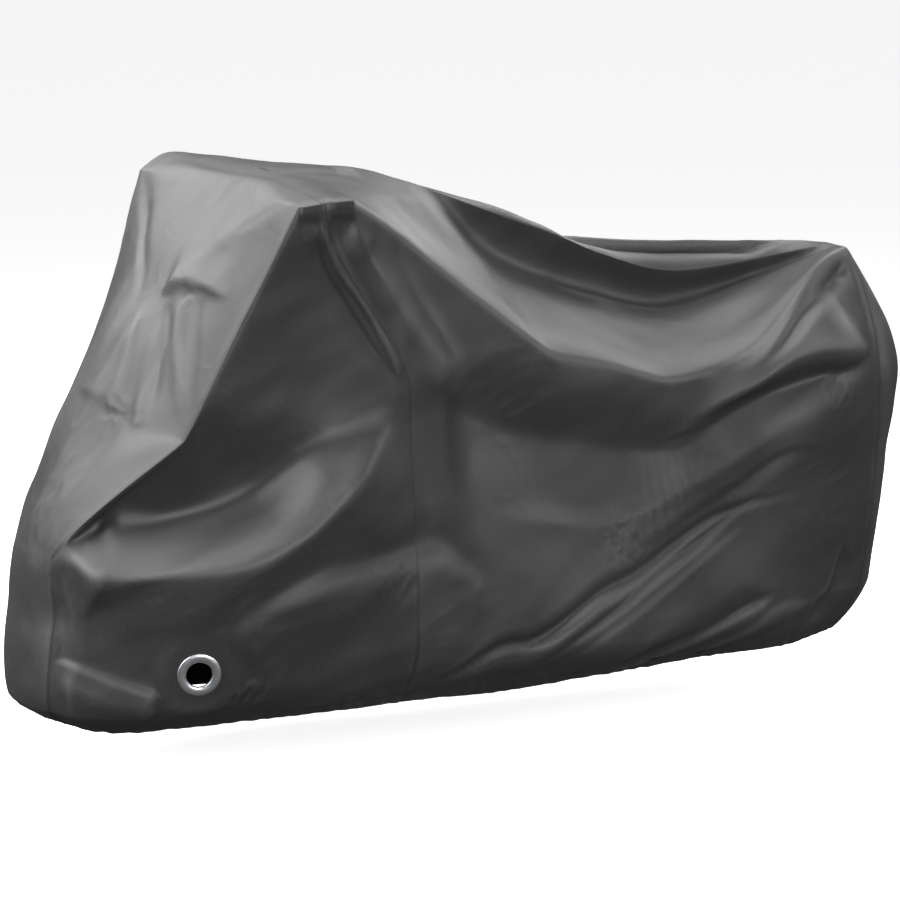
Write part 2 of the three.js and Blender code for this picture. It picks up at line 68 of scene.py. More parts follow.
PATH_SMOOTHING = 5  # steps of the smooth path between two of its given points
TIP = 0.3  # how wide a fold still is where it dies out, as a part of its full width
FLANK = 0.6  # how full the flanks of a fold are; 0 makes them hollow
WAVE_COUNT = 14  # how many plain waves a pattern is made of
WAVE_SPREAD = (0.75, 1.35)  # the range of their lengths, as parts of the length asked for


class Side(Enum):
    """A side of the cover; the value is the sign of Y there."""

    LEFT = -1
    RIGHT = 1


class End(Enum):
    """An end of the cover; the value is the sign of X there."""

    NOSE = -1
    TAIL = 1


class Face(Enum):
    """A face that a fold lies on.

    A path is given in x and z on a wall, in y and z on the front and in x and y on the upper face.
    """

    LEFT_WALL = "left wall"
    RIGHT_WALL = "right wall"
    FRONT = "front"
    UPPER = "upper face"


class Seed(IntEnum):
    """What picks each seeded pattern; a crumpled patch adds its own number."""

    SWELL = 10
    RIPPLE = 11
    CRINKLE = 12
    PATCH = 13
    GATHER = 14
    CRUMPLE = 40
    FINE_CRUMPLE = 80


class Panel(Enum):
    """A sewn panel; the value is the name of the solid that it stands for."""

    CENTRE = "centre_panel"
    LEFT_FRONT = "side_panel_left_front"
    LEFT_REAR = "side_panel_left_rear"
    RIGHT_FRONT = "side_panel_right_front"
    RIGHT_REAR = "side_panel_right_rear"


# The sewn edge of the top, the hem under it, and how the left wall bulges between them
SECTION_COLUMNS = "topX topY topZ hemX hemY hemZ faces chest waist belly hard".split()
SECTIONS = {
    "nose corner": (-1205, -140, 540, -1165, -110, 118, -72, 25, 45, 48, 0.3),
    "nose flank": (-1180, -185, 597, -1105, -150, 100, -55, 22, 50, 62, 0),
    "shelf": (-1095, -240, 687, -1030, -200, 98, -38, 20, 50, 66, 0),
    "corner": (-935, -300, 822, -900, -265, 112, -18, 0, 40, 60, 0.8),
    "taut edge": (-820, -362, 1085, -720, -310, 122, -8, -20, 20, 62, 0),
    "peak front": (-700, -428, 1360, -540, -325, 127, 0, -30, 0, 58, 1),
    "peak seam": (-632, -432, 1368, -372, -335, 131, 0, -28, -2, 52, 0),
    "peak rear": (-556, -426, 1371, -270, -335, 130, 0, -25, 0, 52, 1),
    "slope front": (-370, -320, 1275, -160, -335, 128, 0, -4, 11, 54, 0),
    "slope rear": (-163, -300, 1128, -20, -335, 129, 0, 2, 10, 53, 0),
    "dip kink": (58, -300, 967, 120, -335, 133, 0, 5, 5, 52, 0.5),
    "dip": (230, -310, 930, 270, -335, 139, 0, 0, 5, 52, 0),
    "dip low": (404, -310, 883, 420, -332, 144, 0, 0, 8, 50, 0.5),
    "dip rear": (672, -270, 940, 650, -315, 149, 12, 22, 20, 42, 0),
    "tail flank": (921, -190, 1121, 840, -270, 145, 20, 130, 82, 46, 0),
    "tail corner": (1095, -95, 1158, 1005, -200, 150, 28, 144, 134, 72, 0.3),
}

# Three lines that run the length of the top between its sewn edges, and its right edge
TOP_COLUMNS = ("valleyX valleyY valleyZ ridgeX ridgeY ridgeZ crestX crestY crestZ "
               "rightX rightY rightZ").split()
TOP_LINES = [
    (-1216, -60, 552, -1218, 0, 556, -1208, 75, 548, -1182, 140, 530),
    (-1195, -75, 615, -1196, 0, 622, -1178, 90, 612, -1140, 185, 592),
    (-1140, -110, 697, -1150, 0, 700, -1130, 110, 695, -1075, 240, 680),
    (-1020, -150, 840, -1060, 10, 850, -1045, 160, 845, -965, 300, 825),
    (-870, -180, 1090, -905, 0, 1095, -890, 180, 1095, -830, 357, 1090),
    (-690, -200, 1372, -680, 0, 1375, -690, 200, 1385, -700, 430, 1395),
    (-625, -200, 1405, -625, 0, 1412, -625, 220, 1420, -632, 432, 1436),
    (-545, -200, 1402, -540, 0, 1425, -535, 220, 1428, -556, 430, 1432),
    (-350, -160, 1358, -330, 0, 1412, -345, 160, 1405, -400, 330, 1330),
    (-110, -20, 1312, -125, 35, 1360, -135, 130, 1349, -180, 300, 1190),
    (80, 48, 1188, 112, 50, 1277, 110, 120, 1284, 40, 300, 1050),
    (240, 64, 1112, 280, 52, 1220, 260, 125, 1228, 220, 300, 1000),
    (414, 68, 1062, 436, 54, 1160, 425, 138, 1202, 400, 300, 960),
    (655, 66, 1020, 662, 54, 1108, 670, 138, 1180, 670, 270, 1000),
    (1030, 30, 1116, 1040, 40, 1145, 1030, 118, 1168, 930, 200, 1100),
    (1105, -50, 1160, 1108, 0, 1163, 1108, 60, 1162, 1100, 110, 1156),
]


@dataclass(frozen=True)
class Fold:
    """One fold of the cloth, in millimetres.

    height is how far it stands out of the cloth, or in when it is below zero. above and below are
    the widths of its flanks to the left and to the right of its path. crest rounds its edge. starts
    and ends are the parts of its length over which it rises from nothing and dies out again. edge
    is the part of the wall below the sewn edge over which it dies out.
    """

    face: Face
    height: float
    above: float
    below: float
    path: tuple[tuple[float, float], ...]
    crest: float = 14.0
    starts: float = 0.16
    ends: float = 0.16
    edge: float = 0.04


LEFT = Face.LEFT_WALL
RIGHT = Face.RIGHT_WALL
FRONT = Face.FRONT
UPPER = Face.UPPER

FOLDS = {
    # Main folds of the left wall
    "nose shelf": Fold(LEFT, 84, 145, 300, (
        (-1206, 556), (-1117, 530), (-1010, 505), (-910, 504), (-800, 525), (-681, 580), (-575, 680),
        (-495, 765), (-440, 832), (-400, 880)), 7, 0.12, 0.3),
    "hollow over the shelf": Fold(LEFT, -46, 240, 100, (
        (-1190, 578), (-1068, 610), (-881, 650), (-751, 708), (-640, 785), (-552, 840)),
        20, 0.12, 0.42),
    "arch": Fold(LEFT, 9, 40, 160, (
        (-871, 320), (-806, 365), (-736, 406), (-627, 452), (-480, 480), (-359, 498), (-290, 484),
        (-159, 402)), 12, 0.1, 0.5),
    "hollow over the arch": Fold(LEFT, -13, 100, 70, (
        (-796, 427), (-723, 470), (-636, 511), (-552, 520), (-436, 532), (-324, 549), (-269, 531),
        (-129, 409)), 7, 0.2, 0.3),
    "seam pleat": Fold(LEFT, 6, 12, 12, (
        (-647, 1325), (-590, 1214), (-508, 1114), (-443, 1016), (-399, 932)), 3, 0.08, 0.1),
    "pleat dark left": Fold(LEFT, -7, 14, 50, (
        (-661, 1300), (-618, 1205), (-545, 1105), (-464, 995), (-405, 906)), 3, 0.08, 0.35),
    "pleat dark right": Fold(LEFT, -5, 36, 12, (
        (-600, 1310), (-535, 1195), (-466, 1092), (-405, 979)), 3, 0.08, 0.2),
    "tuck under the dip": Fold(LEFT, -50, 170, 330, (
        (-390, 945), (-307, 895), (-200, 848), (-76, 790), (37, 750), (179, 724), (327, 698),
        (450, 703), (560, 735)), 16, 0.3, 0.3),
    "light streak": Fold(LEFT, 9, 50, 150, (
        (-169, 600), (10, 560), (155, 530), (300, 545), (450, 600), (611, 665), (783, 745)),
        6, 0.3, 0.3),
    "tail strip": Fold(LEFT, -16, 24, 50, (
        (1078, 1125), (1000, 1092), (921, 1054), (842, 1003), (771, 947), (692, 910), (618, 881)),
        5, 0.1, 0.4),
    "tail tuck": Fold(LEFT, -12, 18, 90, (
        (400, 715), (520, 745), (631, 785), (747, 830), (861, 868), (930, 876), (1010, 870)),
        5, 0.3),
    "tail ledge": Fold(LEFT, 64, 225, 34, (
        (444, 765), (589, 822), (734, 876), (845, 905), (906, 906), (990, 908), (1070, 925)),
        10, 0.5, 0.3),
    "long tuck": Fold(LEFT, -20, 40, 20, (
        (-342, 187), (-263, 205), (-130, 263), (-16, 274), (170, 367), (294, 407), (491, 505),
        (621, 544), (745, 560), (839, 588)), 4, 0.2, 0.45),
    "long ridge": Fold(LEFT, 5, 20, 50, (
        (-263, 169), (-133, 217), (-22, 227), (152, 321), (273, 355), (471, 435), (605, 498)),
        4, 0.3, 0.3),
    "second tuck": Fold(LEFT, -10, 26, 12, (
        (-60, 190), (130, 285), (229, 335), (346, 400), (575, 515), (730, 600)), 3, 0.3, 0.4),
    "second ridge": Fold(LEFT, 4, 12, 60, (
        (0, 165), (180, 262), (360, 352), (560, 455), (700, 530)), 3, 0.3, 0.4),
    "low tuck": Fold(LEFT, -15, 60, 18, (
        (200, 140), (293, 175), (371, 206), (460, 233), (590, 281), (715, 315)), 5, 0.3, 0.2),
    "low ridge": Fold(LEFT, 7, 24, 60, (
        (340, 140), (442, 166), (514, 186), (592, 211), (717, 261), (867, 272)), 4, 0.3, 0.2),
    "fan crease": Fold(LEFT, -6, 26, 40, (
        (200, 420), (370, 486), (459, 530), (619, 598), (760, 668), (899, 671)), 4, 0.3, 0.3),
    "thin crease": Fold(LEFT, -4, 14, 20, (
        (375, 713), (535, 765), (717, 828), (841, 885)), 2, 0.2, 0.3),
    "shallow hollow": Fold(LEFT, -7, 45, 70, (
        (-507, 1275), (-450, 1188), (-379, 1091), (-317, 1003), (-285, 926)), 8, 0.1, 0.3),
    "rear crease": Fold(LEFT, -6, 12, 30, (
        (1080, 1123), (1088, 1065), (1090, 1008), (1078, 917)), 3, 0.1, 0.3),
    "low curve": Fold(LEFT, -12, 60, 26, (
        (964, 430), (957, 350), (930, 285), (880, 245), (850, 200)), 5, 0.3, 0.3),
    "nose ridge": Fold(LEFT, 14, 60, 60, ((-1204, 234), (-1166, 233), (-1104, 210), (-1000, 190))),
    "nose dart": Fold(LEFT, 7, 14, 70, (
        (-1208, 302), (-1157, 283), (-1095, 254), (-995, 214)), 3, 0.1),
    "near pocket": Fold(LEFT, -6, 20, 110, (
        (-705, 1325), (-676, 1328), (-645, 1322)), 3, 0.2, 0.2, 0.012),
    "rear pocket": Fold(LEFT, -8, 24, 110, (
        (-628, 1322), (-585, 1322), (-540, 1312)), 3, 0.2, 0.2, 0.012),
    # Main folds of the right wall
    "right shelf": Fold(RIGHT, 52, 105, 320, (
        (-1165, 520), (-1040, 500), (-890, 505), (-760, 560), (-610, 668), (-440, 800)), 8),
    "right hollow": Fold(RIGHT, -24, 120, 60, (
        (-1120, 598), (-880, 640), (-700, 720), (-520, 840)), 22),
    "right arch": Fold(RIGHT, 30, 70, 230, (
        (-830, 300), (-700, 430), (-560, 520), (-420, 548), (-280, 500), (-140, 400)), 7),
    "right dip tuck": Fold(RIGHT, -32, 150, 120, (
        (-340, 930), (-120, 850), (120, 790), (380, 750), (640, 730)), 7),
    "right long tuck": Fold(RIGHT, -22, 100, 55, (
        (-220, 300), (80, 400), (330, 470), (560, 590), (800, 700)), 5),
    "right long ridge": Fold(RIGHT, 15, 50, 70, (
        (-100, 230), (160, 330), (420, 420), (700, 580)), 5),
    "right tail tuck": Fold(RIGHT, -24, 90, 55, ((520, 760), (760, 860), (980, 880)), 6),
    "right low tuck": Fold(RIGHT, -18, 70, 50, ((330, 200), (520, 270), (720, 330)), 5),
    # Main folds of the top
    "brow": Fold(FRONT, 10, 120, 230, (
        (-349, 1379), (-288, 1330), (-169, 1267), (-102, 1198), (-35, 1139)), 5, 0.06, 0.14),
    "brow crease": Fold(FRONT, -3, 10, 14, (
        (-340, 1366), (-288, 1334), (-190, 1280)), 2, 0.2, 0.3),
    "brow edge": Fold(FRONT, 14, 80, 16, (
        (-289, 1146), (-201, 1161), (-137, 1166), (-75, 1156), (-30, 1132)), 3, 0.2, 0.2),
    "front upright": Fold(FRONT, -6, 16, 40, (
        (398, 1398), (341, 1337), (275, 1280), (194, 1221), (105, 1164), (40, 1090)),
        4, 0.08, 0.3),
    "first wrinkle": Fold(FRONT, 5, 40, 12, (
        (-1, 1100), (-54, 985), (-94, 859)), 4, 0.3, 0.1),
    "second wrinkle": Fold(FRONT, 4, 14, 30, (
        (-82, 1100), (-135, 963), (-181, 829)), 3, 0.3, 0.1),
    "third wrinkle": Fold(FRONT, -4, 14, 14, (
        (-80, 1122), (-158, 1014), (-198, 881)), 3, 0.1, 0.3),
    "fourth wrinkle": Fold(FRONT, 4, 16, 12, (
        (-127, 1124), (-218, 985), (-290, 840)), 3, 0.1, 0.2),
    "fifth wrinkle": Fold(FRONT, -5, 20, 14, (
        (-190, 1145), (-262, 1001), (-298, 850)), 3, 0.1, 0.2),
    "front step": Fold(FRONT, 5, 90, 22, (
        (-196, 878), (-99, 890), (4, 908), (120, 915)), 5, 0.3, 0.3),
    "front pull": Fold(UPPER, -16, 90, 90, ((-600, -60), (-470, -40), (-330, -20)), 10),
    "rear hollow": Fold(UPPER, -44, 17, 66, (
        (200, 112), (420, 118), (640, 120), (880, 110), (1010, 90)), 6),
    "sagging band": Fold(UPPER, -14, 110, 110, (
        (-330, -170), (60, -170), (400, -175), (700, -150), (900, -100))),
}


@dataclass(frozen=True)
class Crumple:
    """A small patch where the cloth is crushed into sharp little ridges.

    centre is in millimetres above the ground, reach is the patch's radius, height the height of the
    ridges and spacing the distance between them.
    """

    centre: tuple[float, float, float]
    reach: float
    height: float
    spacing: float


CRUMPLES = {
    "shelf": Crumple((-1004, -276, 472), 90, 5.0, 46),
    "side": Crumple((257, -330, 495), 130, 2.2, 34),
    "brow": Crumple((-844, -146, 1144), 60, 5.0, 36),
    "front": Crumple((-1013, -102, 878), 70, 4.5, 40),
    "arch": Crumple((-420, -396, 474), 110, 2.0, 50),
    "tail": Crumple((895, -326, 834), 100, 3.0, 40),
    "eyelet": Crumple((-810, -348, 204), 90, 3.2, 44),
    "right side": Crumple((100, 330, 520), 140, 3.4, 40),
}


def slopes_of(values: Array, hard: Array | None) -> Array:
    """Tangents of the cubic through rows of values.

    Args:
        values: One row for each whole parameter.
        hard: For each row, 0 for a smooth pass and 1 for a sharp corner, or None.

    Returns:
        One tangent for each row.
    """
    padded = np.concatenate([values[:1], values, values[-1:]])
    slopes = (padded[2:] - padded[:-2]) / 2
    slopes[0] *= 2
    slopes[-1] *= 2
    if hard is not None:
        slopes = slopes * (1 - hard).reshape((-1,) + (1,) * (values.ndim - 1))
    return slopes


def hermite(s: Array, start: Array, leaving: Array, end: Array, arriving: Array) -> Array:
    """The cubic from one value to the next.

    Args:
        s: Parts of the way, 0 to 1.
        start: Values at 0.
        leaving: Tangents at 0.
        end: Values at 1.
        arriving: Tangents at 1.

    Returns:
        The values at s.
    """
    s2, s3 = s * s, s * s * s
    return ((2 * s3 - 3 * s2 + 1) * start + (s3 - 2 * s2 + s) * leaving
            + (3 * s2 - 2 * s3) * end + (s3 - s2) * arriving)


def cubic_at(values: Array, places: Array, hard: Array | None = None) -> Array:
    """Cubic through rows of values.

    Args:
        values: One row for each whole parameter.
        places: Parameters of any shape.
        hard: See slopes_of.

    Returns:
        The values at the places.
    """
    values = np.asarray(values, float)
    slopes = slopes_of(values, hard)
    row = np.clip(np.floor(places).astype(int), 0, len(values) - 2)
    s = (places - row).reshape(np.shape(places) + (1,) * (values.ndim - 1))
    return hermite(s, values[row], slopes[row], values[row + 1], slopes[row + 1])


def picked(rows: Array, index: Array) -> Array:
    """The entry of rows that index names, for each point."""
    return np.take_along_axis(rows, index[None], 0)[0]


def cubic_across(lines: list[Array], places: Array, hard: Array | None = None) -> Array:
    """Cubic through a list of arrays that all have the shape of places, at whole parameters.

    Args:
        lines: The arrays, one for each whole parameter.
        places: Parameters.
        hard: See slopes_of.

    Returns:
        The values at the places.
    """
    values = np.stack(np.broadcast_arrays(*lines))
    slopes = slopes_of(values, hard)
    row = np.clip(np.floor(places).astype(int), 0, len(lines) - 2)
    return hermite(places - row, picked(values, row), picked(slopes, row), picked(values, row + 1),
                   picked(slopes, row + 1))


def ease(x: Array | float) -> Array:
    """Eases from 0 to 1 as x goes from 0 to 1."""
    c = np.clip(x, 0, 1)
    return c * c * (3 - 2 * c)


def unit(vectors: Array) -> Array:
    """The vectors at length one."""
    return vectors / np.maximum(np.linalg.norm(vectors, axis=-1, keepdims=True), 1e-12)


def walked(points: Array, axis: int = 0) -> Array:
    """How far each point of a row is from the row's first point, measured along the row.

    Args:
        points: Rows of points, with the coordinates in the last axis.
        axis: The axis that the rows run along.

    Returns:
        One length for each point.
    """
    steps = np.linalg.norm(np.diff(points, axis=axis), axis=-1)
    start = np.zeros_like(np.take(steps, [0], axis))
    return np.concatenate([start, np.cumsum(steps, axis=axis)], axis)


def path_reach(path: Array, a: Array, b: Array) -> tuple[Array, Array]:
    """Where points lie beside a path.

    Args:
        path: Points of the path, one a row.
        a: First coordinate of each point.
        b: Second coordinate of each point.

    Returns:
        The signed distance, positive to the path's left, and the part of its length walked.
    """
    steps = np.diff(path, axis=0)
    lengths = np.hypot(steps[:, 0], steps[:, 1])
    before = np.concatenate([[0], np.cumsum(lengths)])
    best = np.full(a.shape, np.inf)
    signed = np.zeros(a.shape)
    along = np.zeros(a.shape)
    for start, step, length, done in zip(path, steps, lengths, before):
        dx, dy = step / length
        s = np.clip((a - start[0]) * dx + (b - start[1]) * dy, 0, length)
        ex = a - start[0] - dx * s
        ey = b - start[1] - dy * s
        distance = np.hypot(ex, ey)
        nearer = distance < best
        best = np.where(nearer, distance, best)
        signed = np.where(nearer, np.where(dx * ey - dy * ex >= 0, distance, -distance), signed)
        along = np.where(nearer, (done + s) / before[-1], along)
    return signed, along


def fold_amount(fold: Fold, a: Array, b: Array) -> Array:
    """How far one fold moves the cloth outward.

    Args:
        fold: The fold.
        a: First path coordinate of each point.
        b: Second path coordinate of each point.

    Returns:
        Millimetres for each point.
    """
    amount = np.zeros(a.shape)
    given = np.array(fold.path, float)
    places = np.linspace(0, len(given) - 1, (len(given) - 1) * PATH_SMOOTHING + 1)
    path = cubic_at(given, places)
    margin = max(fold.above, fold.below) + 2 * fold.crest
    near = ((a > path[:, 0].min() - margin) & (a < path[:, 0].max() + margin)
            & (b > path[:, 1].min() - margin) & (b < path[:, 1].max() + margin))
    if not near.any():
        return amount
    signed, along = path_reach(path, a[near], b[near])
    fade = ease(along / fold.starts) * ease((1 - along) / fold.ends)
    width = np.where(signed >= 0, fold.above, fold.below) * (TIP + (1 - TIP) * fade)
    across = np.clip((np.hypot(signed, fold.crest) - fold.crest) / width, 0, 1)
    amount[near] = fold.height * fade * (1 - across) ** 2 * (1 + FLANK * across)
    return amount


@dataclass
class CoverShape:
    """The outer surface of the cover, in millimetres above the ground.

    Sections are counted from 0 at the nose to the last at the tail, and k is a place among them.
    """

    levels: tuple[float, ...] = (0, 0.28, 0.54, 0.86, 1)
    nose_bulge: tuple[float, ...] = (15, 28, 28, 28, 20)
    tail_bulge: tuple[float, ...] = (22, 172, 148, 132, 100)
    end_roundness: float = 0.65
    wall_slant_end: float = 0.4
    corner_depth: float = 0.26
    droop: float = 40.0
    droop_middle: float = 5.0
    droop_reach: float = 3.0
    normal_step: float = 0.01
    nose_fade: float = 0.6
    tail_fade: float = 0.3
    top_edge_fade: float = 0.14
    front_face_end: float = 5.0
    front_blend: float = 0.8
    inner_hardness: float = 0.25
    top_hardness: tuple[float, ...] = (0, 0.5, 0.75, 0.2, 0)
    section: dict[str, Array] = field(init=False)
    top: dict[str, Array] = field(init=False)

    def __post_init__(self) -> None:
        """Turns the tables into columns."""
        rows = np.array(list(SECTIONS.values()), float)
        self.section = dict(zip(SECTION_COLUMNS, rows.T))
        self.top = dict(zip(TOP_COLUMNS, np.array(TOP_LINES, float).T))

    @property
    def last(self) -> int:
        """The last section's number."""
        return len(SECTIONS) - 1

    def column(self, name: str, k: Array) -> Array:
        """One column of the section table, read at k."""
        return cubic_at(self.section[name], k)

    def top_line(self, line: str, k: Array) -> Array:
        """Points of one of the lines that run the length of the top."""
        hard = self.section["hard"] * self.inner_hardness
        return np.stack([cubic_at(self.top[line + axis], k, hard) for axis in "XYZ"], -1)

    def top_edge(self, side: Side, k: Array, sharpness: float = 1.0) -> Array:
        """Points of the sewn edge between the top and a wall.

        Args:
            side: The wall's side.
            k: Places among the sections.
            sharpness: How much of its sharp corners it keeps, 0 to 1.

        Returns:
            Points in the last axis.
        """
        hard = self.section["hard"] * sharpness
        table, name = (self.top, "right") if side is Side.RIGHT else (self.section, "top")
        return np.stack([cubic_at(table[name + axis], k, hard) for axis in "XYZ"], -1)

    def level_index(self, v: Array) -> Array:
        """The place of v among the levels of the wall, as a row number with a fraction."""
        return np.interp(v, self.levels, np.arange(len(self.levels)))

    def plain_wall(self, side: Side, k: Array, v: Array) -> Array:
        """Points of a side wall without its folds.

        Args:
            side: The side.
            k: Places among the sections.
            v: Parts of the way from the top edge down to the hem.

        Returns:
            Points in the last axis.
        """
        sharp, soft = self.top_edge(side, k), self.top_edge(side, k, 0.0)
        top = sharp + (soft - sharp) * ease(v / self.corner_depth)[..., None]
        slant = ease(v / self.wall_slant_end)
        faces = np.radians(self.column("faces", k))
        nothing = np.zeros(k.shape)
        bulges = [self.column(name, k) for name in ("chest", "waist", "belly")]
        out = cubic_across([nothing, *bulges, nothing], self.level_index(v))
        hem_x, hem_z = self.column("hemX", k), self.column("hemZ", k)
        hem_y = side.value * np.abs(self.column("hemY", k))
        if side is Side.RIGHT:
            hem_z = hem_z - self.droop * ease(1 - np.abs(k - self.droop_middle) / self.droop_reach)
        return np.stack([
            top[..., 0] + (hem_x - top[..., 0]) * slant + np.sin(faces) * out,
            top[..., 1] + (hem_y - top[..., 1]) * v + side.value * np.cos(faces) * out,
            top[..., 2] + (hem_z - top[..., 2]) * v,
        ], -1)

    def plain_top(self, k: Array, a: Array) -> Array:
        """Points of the top without its folds.

        Args:
            k: Places among the sections.
            a: Runs from the left edge (0) to the right (1).

        Returns:
            Points in the last axis.
        """
        inner = [self.top_line(name, k) for name in ("valley", "ridge", "crest")]
        lines = [self.top_edge(Side.LEFT, k), *inner, self.top_edge(Side.RIGHT, k)]
        place = a * (len(lines) - 1)
        hard = np.array(self.top_hardness)
        return np.stack([cubic_across([line[..., i] for line in lines], place, hard)
                         for i in range(3)], -1)

    def end_wall(self, end: End, q: Array, v: Array) -> Array:
        """Points of the wall across the nose or the tail.

        Args:
            end: Which end.
            q: Runs from the left corner (0) to the right (1).
            v: Parts of the way from the top edge down to the hem.

        Returns:
            Points in the last axis.
        """
        k = np.full(q.shape, float(self.last if end is End.TAIL else 0))
        part = q[..., None]
        bulges = self.tail_bulge if end is End.TAIL else self.nose_bulge
        swell = (1 - (2 * q - 1) ** 2) ** self.end_roundness * end.value
        left, right = self.plain_wall(Side.LEFT, k, v), self.plain_wall(Side.RIGHT, k, v)
        point = left + (right - left) * part
        point[..., 0] += cubic_at(np.array(bulges, float), self.level_index(v)) * swell
        left, right = self.top_edge(Side.LEFT, k), self.top_edge(Side.RIGHT, k)
        flat = left + (right - left) * part
        flat[..., 0] += bulges[0] * swell
        reach = 1 - ease(v / self.levels[1])
        return point + (self.plain_top(k, q) - flat) * reach[..., None]

    def push_out(self, plain: Callable[[Array, Array], Array], u: Array, v: Array, amount: Array,
                 outward: float) -> Array:
        """Moves the points of a plain surface along its normals.

        Args:
            plain: Function of u and v that gives points.
            u: First parameters.
            v: Second parameters.
            amount: Millimetres outward for each point.
            outward: Sign that makes the cross product of the two directions point outward.

        Returns:
            The moved points.
        """
        h = self.normal_step
        along_u = plain(u + h, v) - plain(u - h, v)
        along_v = plain(u, v + h) - plain(u, v - h)
        normals = unit(np.cross(along_u, along_v))
        return plain(u, v) + normals * (outward * amount)[..., None]

    def folded_wall(self, side: Side, k: Array, v: Array) -> Array:
        """Points of a side wall with its folds.

        Args:
            side: The side.
            k: Places among the sections.
            v: Parts of the way from the top edge down to the hem.

        Returns:
            Points in the last axis.
        """
        face = Face.LEFT_WALL if side is Side.LEFT else Face.RIGHT_WALL
        points = self.plain_wall(side, k, v)
        fade = ease(k / self.nose_fade) * ease((self.last - k) / self.tail_fade)
        amount = np.zeros(k.shape)
        for fold in FOLDS.values():
            if fold.face is face:
                amount += fold_amount(fold, points[..., 0], points[..., 2]) * ease(v / fold.edge)
        inner = np.where(fade > 0, np.clip(k, self.normal_step, self.last - self.normal_step), k)
        return self.push_out(partial(self.plain_wall, side), inner, v, amount * fade,
                             float(side.value))

    def folded_top(self, k: Array, a: Array) -> Array:
        """Points of the top with its folds.

        Args:
            k: Places among the sections.
            a: Runs from the left edge (0) to the right (1).

        Returns:
            Points in the last axis.
        """
        x, y, z = np.moveaxis(self.plain_top(k, a), -1, 0)
        fade = (ease(a / self.top_edge_fade) * ease((1 - a) / self.top_edge_fade)
                * ease(k / self.nose_fade) * ease((self.last - k) / self.tail_fade))
        front = 1 - ease((k - self.front_face_end) / self.front_blend + 0.5)
        amount = np.zeros(k.shape)
        for fold in FOLDS.values():
            if fold.face is Face.FRONT:
                amount += fold_amount(fold, y, z) * front
            elif fold.face is Face.UPPER:
                amount += fold_amount(fold, x, y) * (1 - front)
        return self.push_out(self.plain_top, k, a, amount * fade, 1.0)


@dataclass
class ClothMesh:
    """The welded outer surface: shared points, faces that know their panel, and its five grids."""

    points: Array
    quads: Array
    panels: Array
    on_hem: Array
    grids: dict[str, Array]
    columns: Array
    seam_column: int
    ridge_light_and_wear: Array = field(init=False)

    def __post_init__(self) -> None:
        """Starts with the ridges not lightened: no painted highlight, no dust and no wear."""
        self.ridge_light_and_wear = np.zeros(len(self.points))

    def ridge_lightening(self, normals: Array, rounds: int, strength: float) -> None:
        """Finds the ridges and seams, which get a lighter colour: partly a painted highlight where
        light would catch them, partly dust and wear.

        Args:
            normals: Outward normals at the points.
            rounds: How many grid steps wide a ridge is felt.
            strength: Lightening for each millimetre that a point stands out of its neighbours'
                middle.
        """
        pairs = self.pairs()
        middle = self.points
        for _ in range(rounds):
            middle = self.middles(middle, pairs)
        out = ((self.points - middle) * normals).sum(1)
        self.ridge_light_and_wear = (out * strength).clip(0, 1)

    def seams(self) -> list[Array]:
        """The points along every seam.

        Returns:
            Point numbers, one array for each seam.
        """
        left, right = self.grids["left"], self.grids["right"]
        seams = [left[:, 0], right[:, 0]]
        for wall in (left, right):
            seams += [wall[0], wall[-1], wall[self.seam_column]]
        return seams

    def normals(self) -> Array:
        """Outward normals at the shared points, each face counted by its area.

        Returns:
            One normal for each point.
        """
        corners = self.points[self.quads]
        face = np.cross(corners[:, 2] - corners[:, 0], corners[:, 3] - corners[:, 1])
        flat, count = self.quads.ravel(order="F"), len(self.points)
        total = [np.bincount(flat, np.tile(face[:, axis], 4), count) for axis in range(3)]
        return unit(np.stack(total, -1))

    def pairs(self) -> Array:
        """The two ends of every edge, each edge once for each face on it."""
        pairs = np.concatenate([self.quads[:, [i, (i + 1) % 4]] for i in range(4)])
        return pairs[pairs[:, 0] != pairs[:, 1]]

    def middles(self, values: Array, pairs: Array) -> Array:
        """The mean of each point's neighbours.

        Args:
            values: One row for each point, with one column or more.
            pairs: What the method pairs gives.

        Returns:
            One row for each point.
        """
        a = np.concatenate([pairs[:, 0], pairs[:, 1]])
        b = np.concatenate([pairs[:, 1], pairs[:, 0]])
        count = np.bincount(a, minlength=len(values))
        columns = range(values.shape[1])
        total = [np.bincount(a, values[b, column], len(values)) for column in columns]
        return np.stack(total, -1) / count[:, None]

    def smooth(self, strength: Array, rounds: int) -> None:
        """Rounds sharp edges.

        Args:
            strength: For each point, the part of the way to the middle of its neighbours.
            rounds: How often.
        """
        pairs = self.pairs()
        for _ in range(rounds):
            self.points += strength[:, None] * (self.middles(self.points, pairs) - self.points)

    def spread(self, start: Array, rounds: int, growth: float = 1.6) -> Array:
        """A mask that fades out over some grid steps.

        Args:
            start: The points where the mask is 1.
            rounds: About how many grid steps it reaches.
            growth: What a neighbour's share is raised by in each round.

        Returns:
            One value for each point.
        """
        mask = np.zeros((len(self.points), 1))
        mask[start] = 1
        pairs = self.pairs()
        for _ in range(rounds):
            mask = np.maximum(mask, self.middles(mask, pairs) * growth).clip(0, 1)
        return mask[:, 0]


def waves(points: Array, length: float, seed: int, stretch: Array | None = None) -> Array:
    """Smooth seeded noise, about -1 to 1.

    Args:
        points: Millimetres.
        length: Distance between two swells.
        seed: Picks the pattern.
        stretch: For each axis, how many times longer the swells are along it.

    Returns:
        One value for each point.
    """
    random = np.random.default_rng(int(seed))
    ways = unit(random.normal(size=(WAVE_COUNT, 3))) / (1 if stretch is None else stretch)
    rates = 2 * np.pi / (length * random.uniform(*WAVE_SPREAD, WAVE_COUNT))
    phases = random.uniform(0, 2 * np.pi, WAVE_COUNT)
    total = np.zeros(len(points))
    for way, rate, phase in zip(ways, rates, phases):
        total += np.sin(points @ way * rate + phase)
    return total / math.sqrt(WAVE_COUNT)


